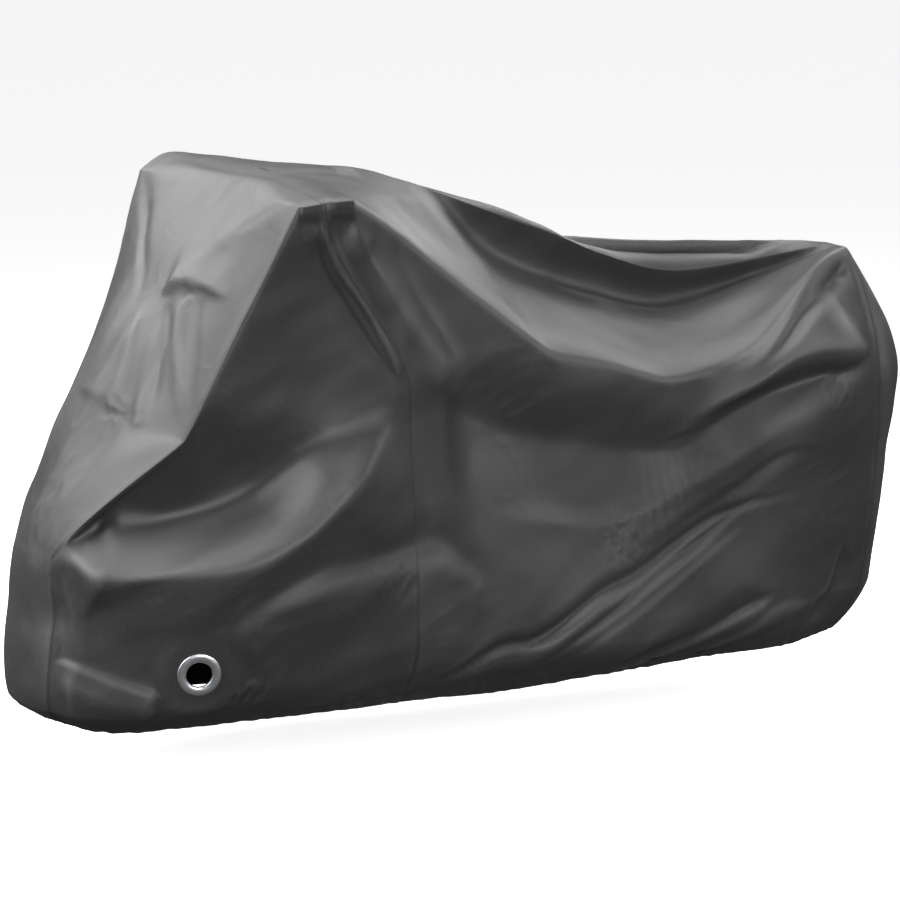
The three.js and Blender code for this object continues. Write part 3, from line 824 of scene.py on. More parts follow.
@dataclass
class ClothDetail:
    """Everything on the cloth that is finer than its folds, in millimetres."""

    swell: float = 2.6
    swell_length: float = 300.0
    ripple: float = 0.7
    ripple_length: float = 95.0
    slant: tuple[float, float, float] = (3.2, 1.0, 0.9)
    tilt: float = 0.45
    crinkle: float = 1.1
    crinkle_length: float = 62.0
    patch_length: float = 420.0
    patch_contrast: float = 0.6
    patch_share: float = 0.25
    ridge_power: float = 0.8
    fine_spacing: float = 0.6
    fine_height: float = 0.5
    softness: float = 0.12
    soft_rounds: int = 5
    edge_softness: float = 0.5
    soft_edge_start: float = 7.0
    soft_edge_steps: int = 4
    eyelet: tuple[float, float] = (-923.0, 274.0)
    flat_radius: float = 72.0
    flat_blend: float = 120.0
    hole_radius: float = 37.0
    seam_depth: float = 1.1
    lip: float = 12.0
    lip_depth: float = 38.0
    lip_over: float = 114.0
    lip_spans: tuple[tuple[float, float], ...] = ((5.12, 5.86), (6.12, 6.93))
    lip_blend: float = 0.1
    hem_curl: float = 28.0
    curl_height: float = 140.0
    pucker: float = 1.3
    pucker_length: float = 30.0
    pucker_height: float = 75.0
    pucker_stretch: tuple[float, float, float] = (1.0, 1.0, 4.0)
    stitch_dent: float = 0.9
    stitch_row: float = 30.0
    stitch_width: float = 3.2
    # How many grid steps wide and how strong the lighter colour of the ridges is: partly a painted
    # highlight, partly dust and wear.
    ridge_light_steps: int = 3
    wear: float = 0.8

    def crumpled(self, points: Array) -> Array:
        """Height of the small ridges of the crumpled patches.

        Args:
            points: Points of the cloth.

        Returns:
            One height for each point.
        """
        amount = np.zeros(len(points))
        for number, crumple in enumerate(CRUMPLES.values()):
            away = np.linalg.norm(points - crumple.centre, axis=1) / crumple.reach
            near = away < 1
            large = np.abs(waves(points[near], crumple.spacing, Seed.CRUMPLE + number))
            fine = np.abs(waves(points[near], crumple.spacing * self.fine_spacing,
                                Seed.FINE_CRUMPLE + number))
            ridges = 1 - 2 * large ** self.ridge_power + self.fine_height * (1 - 2 * fine)
            amount[near] += crumple.height * 0.5 * ridges * ease(1 - away[near])
        return amount

    def waved(self, points: Array) -> Array:
        """Height of the slow swells, the slanting ripples and the creases of the whole cloth.

        Args:
            points: Points of the cloth.

        Returns:
            One height for each point.
        """
        stretch = np.array(self.slant)
        tilted = points - np.outer(points[:, 0], [0, 0, self.tilt])
        ripple = waves(tilted, self.ripple_length, Seed.RIPPLE, stretch)
        crease = np.abs(waves(tilted, self.crinkle_length, Seed.CRINKLE, stretch))
        patches = waves(points, self.patch_length, Seed.PATCH)
        patches = ease(patches * self.patch_contrast + self.patch_share)
        return (self.swell * waves(points, self.swell_length, Seed.SWELL) + self.ripple * ripple
                + self.crinkle * patches * (0.5 - crease.clip(0, 1)))

    def eyelet_place(self, cloth: ClothMesh, normals: Array) -> tuple[Array, Array]:
        """Finds the place that the eyelet keeps flat.

        Args:
            cloth: The welded surface.
            normals: Outward normals at its points.

        Returns:
            Middle and outward normal of the place.
        """
        x, z = self.eyelet
        away = np.hypot(cloth.points[:, 0] - x, cloth.points[:, 2] - z)
        near = (away < self.flat_radius) & (cloth.points[:, 1] < 0)
        normal = unit(normals[near].sum(0))
        middle = cloth.points[near].mean(0)
        offset = np.array([x - middle[0], 0.0, z - middle[2]])
        middle = middle + offset - np.array([0, 1.0, 0]) * (offset @ normal) / normal[1]
        return middle, normal

    def hem_shape(self, cloth: ClothMesh) -> Array:
        """How far the cloth near the hem stands out: it curls in and the elastic gathers it.

        Args:
            cloth: The welded surface.

        Returns:
            One height for each point.
        """
        amount = np.zeros(len(cloth.points))
        for name in ("left", "right", "nose", "tail"):
            grid = cloth.grids[name]
            column = cloth.points[grid]
            above = walked(column[:, ::-1], 1)[:, ::-1]
            curl = -self.hem_curl * (1 - above / self.curl_height).clip(0, 1) ** 2
            gather = waves(column.reshape(-1, 3), self.pucker_length, Seed.GATHER,
                           np.array(self.pucker_stretch))
            low = ease(1 - above / self.pucker_height)
            gather = gather.reshape(above.shape) * self.pucker * low
            from_row = (above - self.stitch_row) / self.stitch_width
            amount[grid] = curl + gather - self.stitch_dent * np.exp(-from_row ** 2)
        return amount

    def peak_lip(self, cloth: ClothMesh) -> None:
        """Draws the sewn edge at the left peak out into two lips with a pinch between them.

        Args:
            cloth: The welded surface, which is changed.
        """
        wall, top = cloth.grids["left"], cloth.grids["top"]
        reach = np.zeros(len(cloth.columns))
        for start, end in self.lip_spans:
            reach += (ease((cloth.columns - start) / self.lip_blend)
                      * ease((end - cloth.columns) / self.lip_blend))
        out = self.lip * reach[:, None]
        below, inward = walked(cloth.points[wall], 1), walked(cloth.points[top], 1)
        move = np.zeros(len(cloth.points))
        move[top] = out * ease(1 - inward / self.lip_over)
        move[wall] = np.maximum(out * (1 - below / self.lip_depth).clip(0, 1),
                                move[wall] * (below == 0))
        cloth.points[:, 1] -= move

    def apply(self, cloth: ClothMesh) -> tuple[Array, Array]:
        """Rounds the sewn edges, then adds the details along the normals.

        Args:
            cloth: The welded surface, which is changed.

        Returns:
            Middle and outward normal of the eyelet's place.
        """
        sewn = cloth.grids["left"][:, 0]
        near_edge = cloth.spread(sewn[cloth.columns > self.soft_edge_start], self.soft_edge_steps)
        soft = (self.softness + self.edge_softness * near_edge).clip(0, self.edge_softness)
        cloth.smooth(np.where(cloth.on_hem, 0.0, soft), self.soft_rounds)
        normals = cloth.normals()
        amount = self.waved(cloth.points) + self.crumpled(cloth.points) + self.hem_shape(cloth)
        for seam in cloth.seams():
            amount[seam] -= self.seam_depth
        cloth.points += normals * amount[:, None]
        self.peak_lip(cloth)
        middle, normal = self.eyelet_place(cloth, cloth.normals())
        height, _, reach = self.around(cloth, middle, normal)
        free = ease((reach - self.flat_radius) / (self.flat_blend - self.flat_radius))
        cloth.points -= normal * (height * (1 - free))[:, None]
        # Lighter colour on the ridges that stand out of their neighbours: partly a painted
        # highlight, partly dust and wear.
        cloth.ridge_lightening(cloth.normals(), self.ridge_light_steps, self.wear)
        self.cut_hole(cloth, middle, normal)
        return middle, normal

    def around(self, cloth: ClothMesh, middle: Array, normal: Array) -> tuple[Array, Array, Array]:
        """Where the points of the left side lie around the eyelet.

        Args:
            cloth: The welded surface.
            middle: Middle of the eyelet's place.
            normal: Outward normal there.

        Returns:
            Height over the flange, offset along it, and distance, endless for the right side.
        """
        offset = cloth.points - middle
        height = offset @ normal
        flat = offset - height[:, None] * normal
        reach = np.where(cloth.points[:, 1] < 0, np.linalg.norm(flat, axis=1), np.inf)
        return height, flat, reach

    def cut_hole(self, cloth: ClothMesh, middle: Array, normal: Array) -> None:
        """Takes out the faces under the eyelet and rounds the hole that they leave.

        Args:
            cloth: The welded surface, which is changed.
            middle: Middle of the eyelet's place.
            normal: Outward normal there.
        """
        _, flat, reach = self.around(cloth, middle, normal)
        inside = reach[cloth.quads].mean(1) < self.hole_radius
        rim = np.intersect1d(cloth.quads[inside], cloth.quads[~inside])
        cloth.points[rim] += flat[rim] * (self.hole_radius / reach[rim] - 1)[:, None]
        cloth.quads = cloth.quads[~inside]
        cloth.panels = cloth.panels[~inside]


@dataclass
class CoverCloth:
    """Builds the cloth of the cover and cuts it into its panels; lengths in millimetres."""

    shape: CoverShape = field(default_factory=CoverShape)
    step: float = 7.1
    across: int = 72
    across_bias: float = 0.25
    hem_depth: float = 32.0
    hem_rows: int = 7
    wall_height: float = 750.0
    seam_section: float = 6.0
    thickness: float = 1.6
    hem_thickness: float = 3.2
    seam_gap: float = 0.5
    seam_gap_inside: float = 0.05
    weld: float = 0.02

    def columns(self) -> Array:
        """Places among the sections that are about a step apart.

        Returns:
            The places, from the nose to the tail.
        """
        places = [0.0]
        for k in range(self.shape.last):
            ends = np.array([k, k + 1.0])
            high = self.shape.top_edge(Side.LEFT, ends)
            low = self.shape.plain_wall(Side.LEFT, ends, np.array([0.5, 0.5]))
            span = max(np.linalg.norm(high[1] - high[0]), np.linalg.norm(low[1] - low[0]))
            count = max(1, round(span / self.step))
            places.extend(k + (i + 1) / count for i in range(count))
        return np.array(places)

    def rows(self) -> Array:
        """Parts of the way down a wall, closer together at the hem.

        Returns:
            The parts, from 0 at the sewn edge to 1 at the hem.
        """
        upper = np.arange(0, self.wall_height - self.hem_depth, self.step)
        hem = self.wall_height - self.hem_depth + np.linspace(0, self.hem_depth, self.hem_rows)
        return np.concatenate([upper, hem]) / self.wall_height

    def build(self) -> ClothMesh:
        """The whole outer surface.

        Returns:
            The welded surface.
        """
        shape = self.shape
        columns, rows = self.columns(), self.rows()
        across = np.linspace(0, 1, self.across + 1)
        across = across + self.across_bias * np.sin(2 * np.pi * across) / (2 * np.pi)
        in_hem = rows >= 1 - self.hem_depth / self.wall_height - 1e-9
        names = list(Panel)
        points, quads, panels, hems = [], [], [], []
        sizes = {}

        def add(name: str, grid: Array, outward: bool, panel_of: Array, hem: Array) -> None:
            """Adds the faces of one grid of points.

            Args:
                name: Name of the grid.
                grid: The points in rows.
                outward: Whether the faces look outward in the order of the rows.
                panel_of: The number of the panel that each row of faces belongs to.
                hem: Which points are on the hem.
            """
            sizes[name] = grid.shape[:2]
            offset = sum(len(p) for p in points)
            n, m = grid.shape[:2]
            index = offset + np.arange(n * m).reshape(n, m)
            cells = np.stack([index[:-1, :-1], index[1:, :-1], index[1:, 1:], index[:-1, 1:]], -1)
            cells = cells if outward else cells[..., ::-1]
            points.append(grid.reshape(-1, 3))
            quads.append(cells.reshape(-1, 4))
            panels.append(np.repeat(panel_of, m - 1))
            hems.append(np.broadcast_to(hem, (n, m)).ravel())

        front = (columns[:-1] + columns[1:]) / 2 < self.seam_section
        left = np.where(front, names.index(Panel.LEFT_FRONT), names.index(Panel.LEFT_REAR))
        right = np.where(front, names.index(Panel.RIGHT_FRONT), names.index(Panel.RIGHT_REAR))
        centre = names.index(Panel.CENTRE)
        k, v = np.meshgrid(columns, rows, indexing="ij")
        add("left", shape.folded_wall(Side.LEFT, k, v), False, left, in_hem)
        add("right", shape.folded_wall(Side.RIGHT, k, v), True, right, in_hem)
        q, v = np.meshgrid(across, rows, indexing="ij")
        ends = np.full(self.across, centre)
        add("nose", shape.end_wall(End.NOSE, q, v), True, ends, in_hem)
        add("tail", shape.end_wall(End.TAIL, q, v), False, ends, in_hem)
        k, a = np.meshgrid(columns, across, indexing="ij")
        add("top", shape.folded_top(k, a), True, np.full(len(columns) - 1, centre), np.array(False))

        points = np.concatenate(points)
        keys = np.round(points / self.weld).astype(np.int64)
        _, first, shared = np.unique(keys, axis=0, return_index=True, return_inverse=True)
        shared = shared.reshape(-1)
        on_hem = np.zeros(len(first), bool)
        np.logical_or.at(on_hem, shared, np.concatenate(hems))
        grids, offset = {}, 0
        for name, size in sizes.items():
            count = size[0] * size[1]
            grids[name] = shared[offset:offset + count].reshape(size)
            offset += count
        seam = int(np.argmin(np.abs(columns - self.seam_section)))
        return ClothMesh(points[first], shared[np.concatenate(quads)], np.concatenate(panels),
                         on_hem, grids, columns, seam)

    def panel_object(self, cloth: ClothMesh, normals: Array, panel: Panel) -> bpy.types.Object:
        """One panel as a closed thin sheet.

        The sewn edges stand a needle's gap apart on the outside and almost touch on the inside, so
        that no light comes through.

        Args:
            cloth: The welded surface.
            normals: Outward normals at its points.
            panel: The panel.

        Returns:
            The new object.
        """
        quads = cloth.quads[cloth.panels == list(Panel).index(panel)]
        used, local = np.unique(quads, return_inverse=True)
        local = local.reshape(-1, 4)
        edges = np.concatenate([local[:, [i, (i + 1) % 4]] for i in range(4)])
        middles = np.tile(cloth.points[quads].mean(1), (4, 1))
        keep = edges[:, 0] != edges[:, 1]
        edges, middles = edges[keep], middles[keep]
        code = edges[:, 0] * len(used) + edges[:, 1]
        back = edges[:, 1] * len(used) + edges[:, 0]
        rim = ~np.isin(code, back)
        edges, middles = edges[rim], middles[rim]
        outer = cloth.points[used].copy()
        inward = np.zeros_like(outer)
        along = unit(outer[edges[:, 1]] - outer[edges[:, 0]])
        toward = middles - outer[edges[:, 0]]
        toward = unit(toward - (toward * along).sum(1, keepdims=True) * along)
        hem = cloth.on_hem[used]
        is_seam = ~(hem[edges[:, 0]] & hem[edges[:, 1]])
        for corner in range(2):
            np.add.at(inward, edges[is_seam, corner], toward[is_seam])
        pull = unit(inward) * (np.linalg.norm(inward, axis=1, keepdims=True) > 0)
        thickness = np.where(hem, self.hem_thickness, self.thickness)[:, None]
        inner = outer + pull * self.seam_gap_inside / 2 - normals[used] * thickness
        outer += pull * self.seam_gap / 2
        count = len(used)
        rims = np.stack([edges[:, 1], edges[:, 0], edges[:, 0] + count, edges[:, 1] + count], -1)
        faces = np.concatenate([local, local[:, ::-1] + count, rims])
        both = np.concatenate([outer, inner])
        made = sheet_object(panel.value + "_cloth", both, faces, edges, count)
        # Mask of the lighter ridges for the material, painted highlight together with dust and wear;
        # there is none on the inner layer.
        ridge_light_and_wear = np.concatenate([cloth.ridge_light_and_wear[used], np.zeros(count)])
        made.data.attributes.new("ridge_light_and_wear", "FLOAT", "POINT").data.foreach_set("value", ridge_light_and_wear)
        return made


def to_frame(points: Array) -> Array:
    """Points in millimetres above the ground as metres in the frame."""
    return (np.asarray(points, float) - HANG_POINT) * MM


def placed(name: str, data: bpy.types.ID) -> bpy.types.Object:
    """Puts a mesh, a lamp or a camera into the scene.

    Args:
        name: Name of the object.
        data: What it holds.

    Returns:
        The new object.
    """
    made = bpy.data.objects.new(name, data)
    bpy.context.scene.collection.objects.link(made)
    return made


def mesh_object(name: str, points: Array, faces: list) -> bpy.types.Object:
    """Makes a smooth shaded mesh object.

    Args:
        name: Name of the object.
        points: Millimetres above the ground.
        faces: The point numbers of each face.

    Returns:
        The new object.
    """
    mesh = bpy.data.meshes.new(name)
    mesh.from_pydata(to_frame(points).tolist(), [], faces)
    mesh.polygons.foreach_set("use_smooth", [True] * len(mesh.polygons))
    mesh.update()
    return placed(name, mesh)


def sheet_object(name: str, points: Array, quads: Array, rim: Array,
                 layer: int) -> bpy.types.Object:
    """Makes a mesh object of two layers of cloth whose rims stay sharp.

    Args:
        name: Name of the object.
        points: Millimetres above the ground, the outer layer's before the inner layer's.
        quads: Four corners for each face; a repeated corner makes a triangle.
        rim: The edges of the outer layer's rim.
        layer: How many points a layer has.

    Returns:
        The new object.
    """
    faces = [tuple(dict.fromkeys(face)) for face in quads.tolist()]
    made = mesh_object(name, points, [face for face in faces if len(face) > 2])
    mesh = made.data
    ends = np.zeros(len(mesh.edges) * 2, int)
    mesh.edges.foreach_get("vertices", ends)
    ends = np.sort(ends.reshape(-1, 2), axis=1)
    both = np.sort(np.concatenate([rim, rim + layer]), axis=1)
    total = len(points)
    sharp = np.isin(ends[:, 0] * total + ends[:, 1], both[:, 0] * total + both[:, 1])
    mesh.attributes.new("sharp_edge", "BOOLEAN", "EDGE").data.foreach_set("value", sharp)
    mesh.update()
    return made


@dataclass
class LockEyelet:
    """The polished eyelet: a domed flange on the cloth, a barrel through it and a washer behind.

    outer, hole and barrel are radii, the others heights, thicknesses and widths, in millimetres.
    """

    outer: float = 52.0
    hole: float = 31.0
    barrel: float = 34.0
    height: float = 5.5
    edge: float = 1.2
    dome_power: float = 0.75
    sheet: float = 2.4
    lip: float = 2.2
    clear: float = 0.4
    bevel: float = 0.6
    washer: float = 9.0
    washer_thickness: float = 1.0
    washer_bevel: float = 0.5
    turns: int = 128
    dome_steps: int = 20

    def profile(self) -> Array:
        """The turned section, from the barrel's inner end round to it again.

        Returns:
            Radius and height of each point.
        """
        middle, half = (self.outer + self.hole) / 2, (self.outer - self.hole) / 2
        angle = np.linspace(0, np.pi, self.dome_steps + 1)
        rise = (self.height - self.edge) * np.sin(angle) ** self.dome_power
        dome = np.stack([middle + half * np.cos(angle), self.clear + self.edge + rise], -1)
        back = -self.sheet - self.lip
        front = back + self.washer_thickness
        rim = self.barrel + self.washer
        tail = np.array([
            (self.hole, back + self.bevel), (self.hole + self.bevel, back), (rim, back),
            (rim + self.washer_bevel, back + self.washer_bevel), (rim, front), (self.barrel, front),
            (self.barrel, self.clear), (self.outer - self.bevel, self.clear),
            (self.outer, self.clear + self.bevel)])
        return np.concatenate([dome, tail])

    def build(self, middle: Array, normal: Array) -> bpy.types.Object:
        """The eyelet at its place.

        Args:
            middle: Point of the cloth's outer face, in millimetres above the ground.
            normal: Outward normal there.

        Returns:
            The new object.
        """
        profile = self.profile()
        side = unit(np.cross(normal, [0, 0, 1.0]))
        up = np.cross(side, normal)
        angle = np.arange(self.turns) * 2 * np.pi / self.turns
        ring = np.cos(angle)[:, None] * side + np.sin(angle)[:, None] * up
        points = middle + ring[:, None] * profile[None, :, :1] + normal * profile[None, :, 1:]
        index = np.arange(self.turns * len(profile)).reshape(self.turns, len(profile))
        after, beside = np.roll(index, -1, 0), np.roll(index, -1, 1)
        faces = np.stack([index, beside, np.roll(after, -1, 1), after], -1).reshape(-1, 4)
        return mesh_object("eyelet_ring_polished", points.reshape(-1, 3), faces.tolist())


@dataclass
class Stitching:
    """Lockstitches of sewing thread along the seams and the hem; lengths in millimetres."""

    pitch: float = 7.0
    length: float = 4.6
    width: float = 0.9
    height: float = 0.55
    sunk: float = 0.4
    taper: float = 0.22
    seam_offset: float = 5.0
    hem_row: float = 30.0
    box: tuple[tuple[int, ...], ...] = ((0, 1, 2, 3), (7, 6, 5, 4), (0, 4, 5, 1), (1, 5, 6, 2),
                                        (2, 6, 7, 3), (3, 7, 4, 0))

    def line(self, points: Array, normals: Array) -> tuple[Array, Array]:
        """The stitches along one line of points on the cloth.

        Args:
            points: The line's points.
            normals: Outward normals there.

        Returns:
            Points and faces; every stitch has eight points.
        """
        far = walked(points)
        places = np.arange(self.pitch, far[-1] - self.pitch, self.pitch)

        def at(values: Array, where: Array) -> Array:
            """Reads values that belong to the line's points at lengths along it."""
            return np.stack([np.interp(where, far, values[:, i]) for i in range(3)], -1)

        start, end = at(points, places), at(points, places + self.length)
        normal = unit(at(normals, places + self.length / 2))
        along = unit(end - start)
        side = np.cross(along, normal) * self.width / 2
        top, low = normal * self.height, normal * -self.sunk
        inset = along * self.length * self.taper
        corners = [start - side + low, start + side + low, end + side + low, end - side + low,
                   start - side + top + inset, start + side + top + inset,
                   end + side + top - inset, end - side + top - inset]
        faces = np.array(self.box)[None] + 8 * np.arange(len(places))[:, None, None]
        return np.stack(corners, 1).reshape(-1, 3), faces.reshape(-1, 4)

    def lines(self, cloth: ClothMesh) -> dict[Panel, list[tuple[Array, Array]]]:
        """The lines that the stitches follow.

        Args:
            cloth: The finished surface.

        Returns:
            Points and normals of each line, for each panel.
        """
        normals = cloth.normals()
        seam = cloth.seam_column
        lines: dict[Panel, list[tuple[Array, Array]]] = {panel: [] for panel in Panel}

        def beside(panel: Panel, grid: Array, reach: float) -> None:
            """Adds the line that runs reach millimetres from the first row of a grid.

            Args:
                panel: The panel that the line is on.
                grid: Point numbers in rows.
                reach: The distance.
            """
            far = walked(cloth.points[grid])
            row = (far < reach).sum(0).clip(1, len(grid) - 1)
            column = np.arange(grid.shape[1])
            low, high = far[row - 1, column], far[row, column]
            mix = ((reach - low) / np.maximum(high - low, 1e-6)).clip(0, 1)[:, None]
            first, second = grid[row - 1, column], grid[row, column]
            lines[panel].append((cloth.points[first] * (1 - mix) + cloth.points[second] * mix,
                                 unit(normals[first] * (1 - mix) + normals[second] * mix)))

        for name, front, rear in (("left", Panel.LEFT_FRONT, Panel.LEFT_REAR),
                                  ("right", Panel.RIGHT_FRONT, Panel.RIGHT_REAR)):
            wall = cloth.grids[name]
            for panel, part in ((front, wall[:seam + 1]), (rear, wall[seam:])):
                beside(panel, part.T, self.seam_offset)
                beside(panel, part.T[::-1], self.hem_row)
                beside(panel, part, self.seam_offset)
                beside(panel, part[::-1], self.seam_offset)
        top = cloth.grids["top"]
        beside(Panel.CENTRE, top.T, self.seam_offset)
        beside(Panel.CENTRE, top.T[::-1], self.seam_offset)
        for name in ("nose", "tail"):
            end = cloth.grids[name]
            beside(Panel.CENTRE, end, self.seam_offset)
            beside(Panel.CENTRE, end[::-1], self.seam_offset)
            beside(Panel.CENTRE, end.T[::-1], self.hem_row)
        return lines

    def build(self, cloth: ClothMesh) -> list[bpy.types.Object]:
        """The stitches of each panel as one object.

        Args:
            cloth: The finished surface.

        Returns:
            The new objects.
        """
        made = []
        for panel, lines in self.lines(cloth).items():
            points, faces, offset = [], [], 0
            for line_points, line_normals in lines:
                some, quads = self.line(line_points, line_normals)
                points.append(some)
                faces.append(quads + offset)
                offset += len(some)
            faces = np.concatenate(faces).tolist()
            made.append(mesh_object(panel.value + "_stitches", np.concatenate(points), faces))
        return made


class NodeDesk:
    """Where the nodes of one tree are put together."""

    def __init__(self, tree: bpy.types.NodeTree) -> None:
        """Takes the tree."""
        self.tree = tree

    def node(self, kind: str, settings: dict | None = None, inputs: dict | None = None) -> Node:
        """Adds a node.

        Args:
            kind: The node's type.
            settings: Properties to set.
            inputs: Values or sockets for its inputs, by name or number.

        Returns:
            The node.
        """
        node = self.tree.nodes.new(kind)
        for name, value in (settings or {}).items():
            setattr(node, name, value)
        for key, value in (inputs or {}).items():
            if isinstance(value, Socket):
                self.tree.links.new(value, node.inputs[key])
            else:
                node.inputs[key].default_value = value
        return node

    def math(self, operation: str, *values: Socket | float) -> Socket:
        """The result of a Math node."""
        inputs = dict(enumerate(values))
        return self.node("ShaderNodeMath", {"operation": operation}, inputs).outputs[0]

    def place(self) -> Socket:
        """The place on the object, in metres."""
        return self.node("ShaderNodeTexCoord").outputs["Object"]

    def noise(self, place: Socket, scale: Socket | float, detail: float,
              roughness: float = 0.5) -> Node:
        """A Noise node."""
        return self.node("ShaderNodeTexNoise", None, {
            "Vector": place, "Scale": scale, "Detail": detail, "Roughness": roughness})

    def ranged(self, value: Socket, low: float, high: float, start: float = 0.0,
               end: float = 1.0) -> Socket:
        """The value mapped from start..end to low..high."""
        return self.node("ShaderNodeMapRange", None, {
            "Value": value, "From Min": start, "From Max": end, "To Min": low,
            "To Max": high}).outputs["Result"]

    def mixed(self, share: Socket, start: Socket | tuple, end: Socket | tuple) -> Socket:
        """A colour between two others."""
        return self.node("ShaderNodeMix", {"data_type": "RGBA"},
                         {"Factor": share, 6: start, 7: end}).outputs[2]


class Group(NodeDesk):
    """A shader node group under construction."""

    def __init__(self, name: str, inputs: dict[str, float], outputs: tuple[str, ...]) -> None:
        """Makes the group and its sockets.

        Args:
            name: Name of the group.
            inputs: Names and usual values of its number inputs.
            outputs: Names of its number outputs.
        """
        super().__init__(bpy.data.node_groups.new(name, "ShaderNodeTree"))
        sockets = self.tree.interface
        for title, value in inputs.items():
            socket = sockets.new_socket(title, in_out="INPUT", socket_type="NodeSocketFloat")
            socket.default_value = value
        for title in outputs:
            sockets.new_socket(title, in_out="OUTPUT", socket_type="NodeSocketFloat")
        self.given = self.node("NodeGroupInput").outputs
        self.result = self.node("NodeGroupOutput").inputs

    def put(self, title: str, socket: Socket) -> None:
        """Links a socket to an output."""
        self.tree.links.new(socket, self.result[title])


def weave_group() -> bpy.types.NodeTree:
    """Plain weave under a thin coating: crossing threads with a few thicker ones.

    Returns:
        The node group.
    """
    group = Group("weave", {"Threads per metre": 900.0, "Slubs": 0.3}, ("Height",))
    place = group.place()
    axes = group.node("ShaderNodeSeparateXYZ", None, {0: place}).outputs
    threads = group.given["Threads per metre"]
    run = group.math("MULTIPLY", group.math("ADD", axes[0], axes[1]), threads)
    rise = group.math("MULTIPLY", axes[2], threads)
    warp = group.math("SINE", group.math("MULTIPLY", run, math.tau))
    weft = group.math("SINE", group.math("MULTIPLY", rise, math.tau))
    slub = group.noise(place, 220.0, 2.0).outputs["Fac"]
    cross = group.math("MULTIPLY", group.math("MULTIPLY", warp, weft), 0.5)
    thick = group.math("MULTIPLY", slub, group.given["Slubs"])
    group.put("Height", group.math("ADD", cross, thick))
    return group.tree


def crinkle_group() -> bpy.types.NodeTree:
    """Fine creases that a packed sheet keeps: sharp lines between flat facets.

    Returns:
        The node group.
    """
    group = Group("crinkles", {"Scale": 14.0, "Depth": 1.0}, ("Height", "Lines"))
    place = group.place()
    bent = group.noise(place, 6.0, 3.0).outputs["Color"]
    shifted = group.node("ShaderNodeVectorMath", {"operation": "MULTIPLY_ADD"},
                         {0: bent, 1: (0.09, 0.09, 0.09), 2: place}).outputs[0]
    facets = group.node("ShaderNodeTexVoronoi", {"feature": "DISTANCE_TO_EDGE"},
                        {"Vector": shifted, "Scale": group.given["Scale"]}).outputs["Distance"]
    lines = group.node("ShaderNodeMapRange", {"interpolation_type": "SMOOTHSTEP"},
                       {"Value": facets, "From Min": 0.0, "From Max": 0.16, "To Min": 1.0,
                        "To Max": 0.0}).outputs[0]
    soft = group.noise(shifted, 26.0, 4.0, 0.55).outputs["Fac"]
    patch = group.noise(place, 2.6, 1.0).outputs["Fac"]
    marked = group.math("MULTIPLY", lines, group.ranged(patch, 0.0, 1.0, 0.45, 0.62))
    height = group.math("ADD", group.math("MULTIPLY", marked, 0.5), soft)
    group.put("Height", group.math("MULTIPLY", height, group.given["Depth"]))
    group.put("Lines", marked)
    return group.tree


def blotch_group() -> bpy.types.NodeTree:
    """Uneven tone: broad patches with finer specks, about zero on average.

    Returns:
        The node group.
    """
    group = Group("blotches", {"Scale": 3.0, "Specks": 90.0}, ("Value",))
    place = group.place()
    broad = group.noise(place, group.given["Scale"], 5.0).outputs["Fac"]
    fine = group.noise(place, group.given["Specks"], 2.0).outputs["Fac"]
    both = group.math("ADD", group.math("MULTIPLY", broad, 1.4), group.math("MULTIPLY", fine, 0.6))
    group.put("Value", group.math("SUBTRACT", both, 1.0))
    return group.tree


@dataclass
class Effects:
    """The node groups that the finishes share."""

    weave: bpy.types.NodeTree = field(default_factory=weave_group)
    crinkles: bpy.types.NodeTree = field(default_factory=crinkle_group)
    blotches: bpy.types.NodeTree = field(default_factory=blotch_group)


class Surface(NodeDesk):
    """A material under construction."""

    def __init__(self, name: str) -> None:
        """Makes the material with its own shader.

        Args:
            name: Name of the material.
        """
        self.made = bpy.data.materials.new(name)
        self.made.use_nodes = True
        super().__init__(self.made.node_tree)
        self.shader = self.tree.nodes["Principled BSDF"]

    def constant(self, **values: float | tuple) -> None:
        """Sets the shader's own sockets; an underscore stands for a space."""
        for name, value in values.items():
            self.shader.inputs[name.replace("_", " ")].default_value = value

    def effect(self, tree: bpy.types.NodeTree, inputs: dict | None = None) -> Node:
        """One of the shared groups with its own values."""
        return self.node("ShaderNodeGroup", {"node_tree": tree}, inputs)

    def link(self, socket: Socket, name: str) -> None:
        """Links a socket to the shader."""
        self.tree.links.new(socket, self.shader.inputs[name])

    def tones(self, value: Socket, dark: tuple, light: tuple) -> Socket:
        """A colour between dark and light by a value from 0 to 1."""
        return self.mixed(value, (*dark, 1), (*light, 1))

    def bump(self, height: Socket, distance: float, strength: float,
             below: Socket | None = None) -> Socket:
        """Turns a height into a normal.

        Args:
            height: The height.
            distance: Metres from a height of 0 to one of 1.
            strength: How much of it shows, 0 to 1.
            below: The normal that it is laid over.

        Returns:
            The normal.
        """
        inputs = {"Height": height, "Distance": distance, "Strength": strength}
        if below is not None:
            inputs["Normal"] = below
        return self.node("ShaderNodeBump", None, inputs).outputs[0]


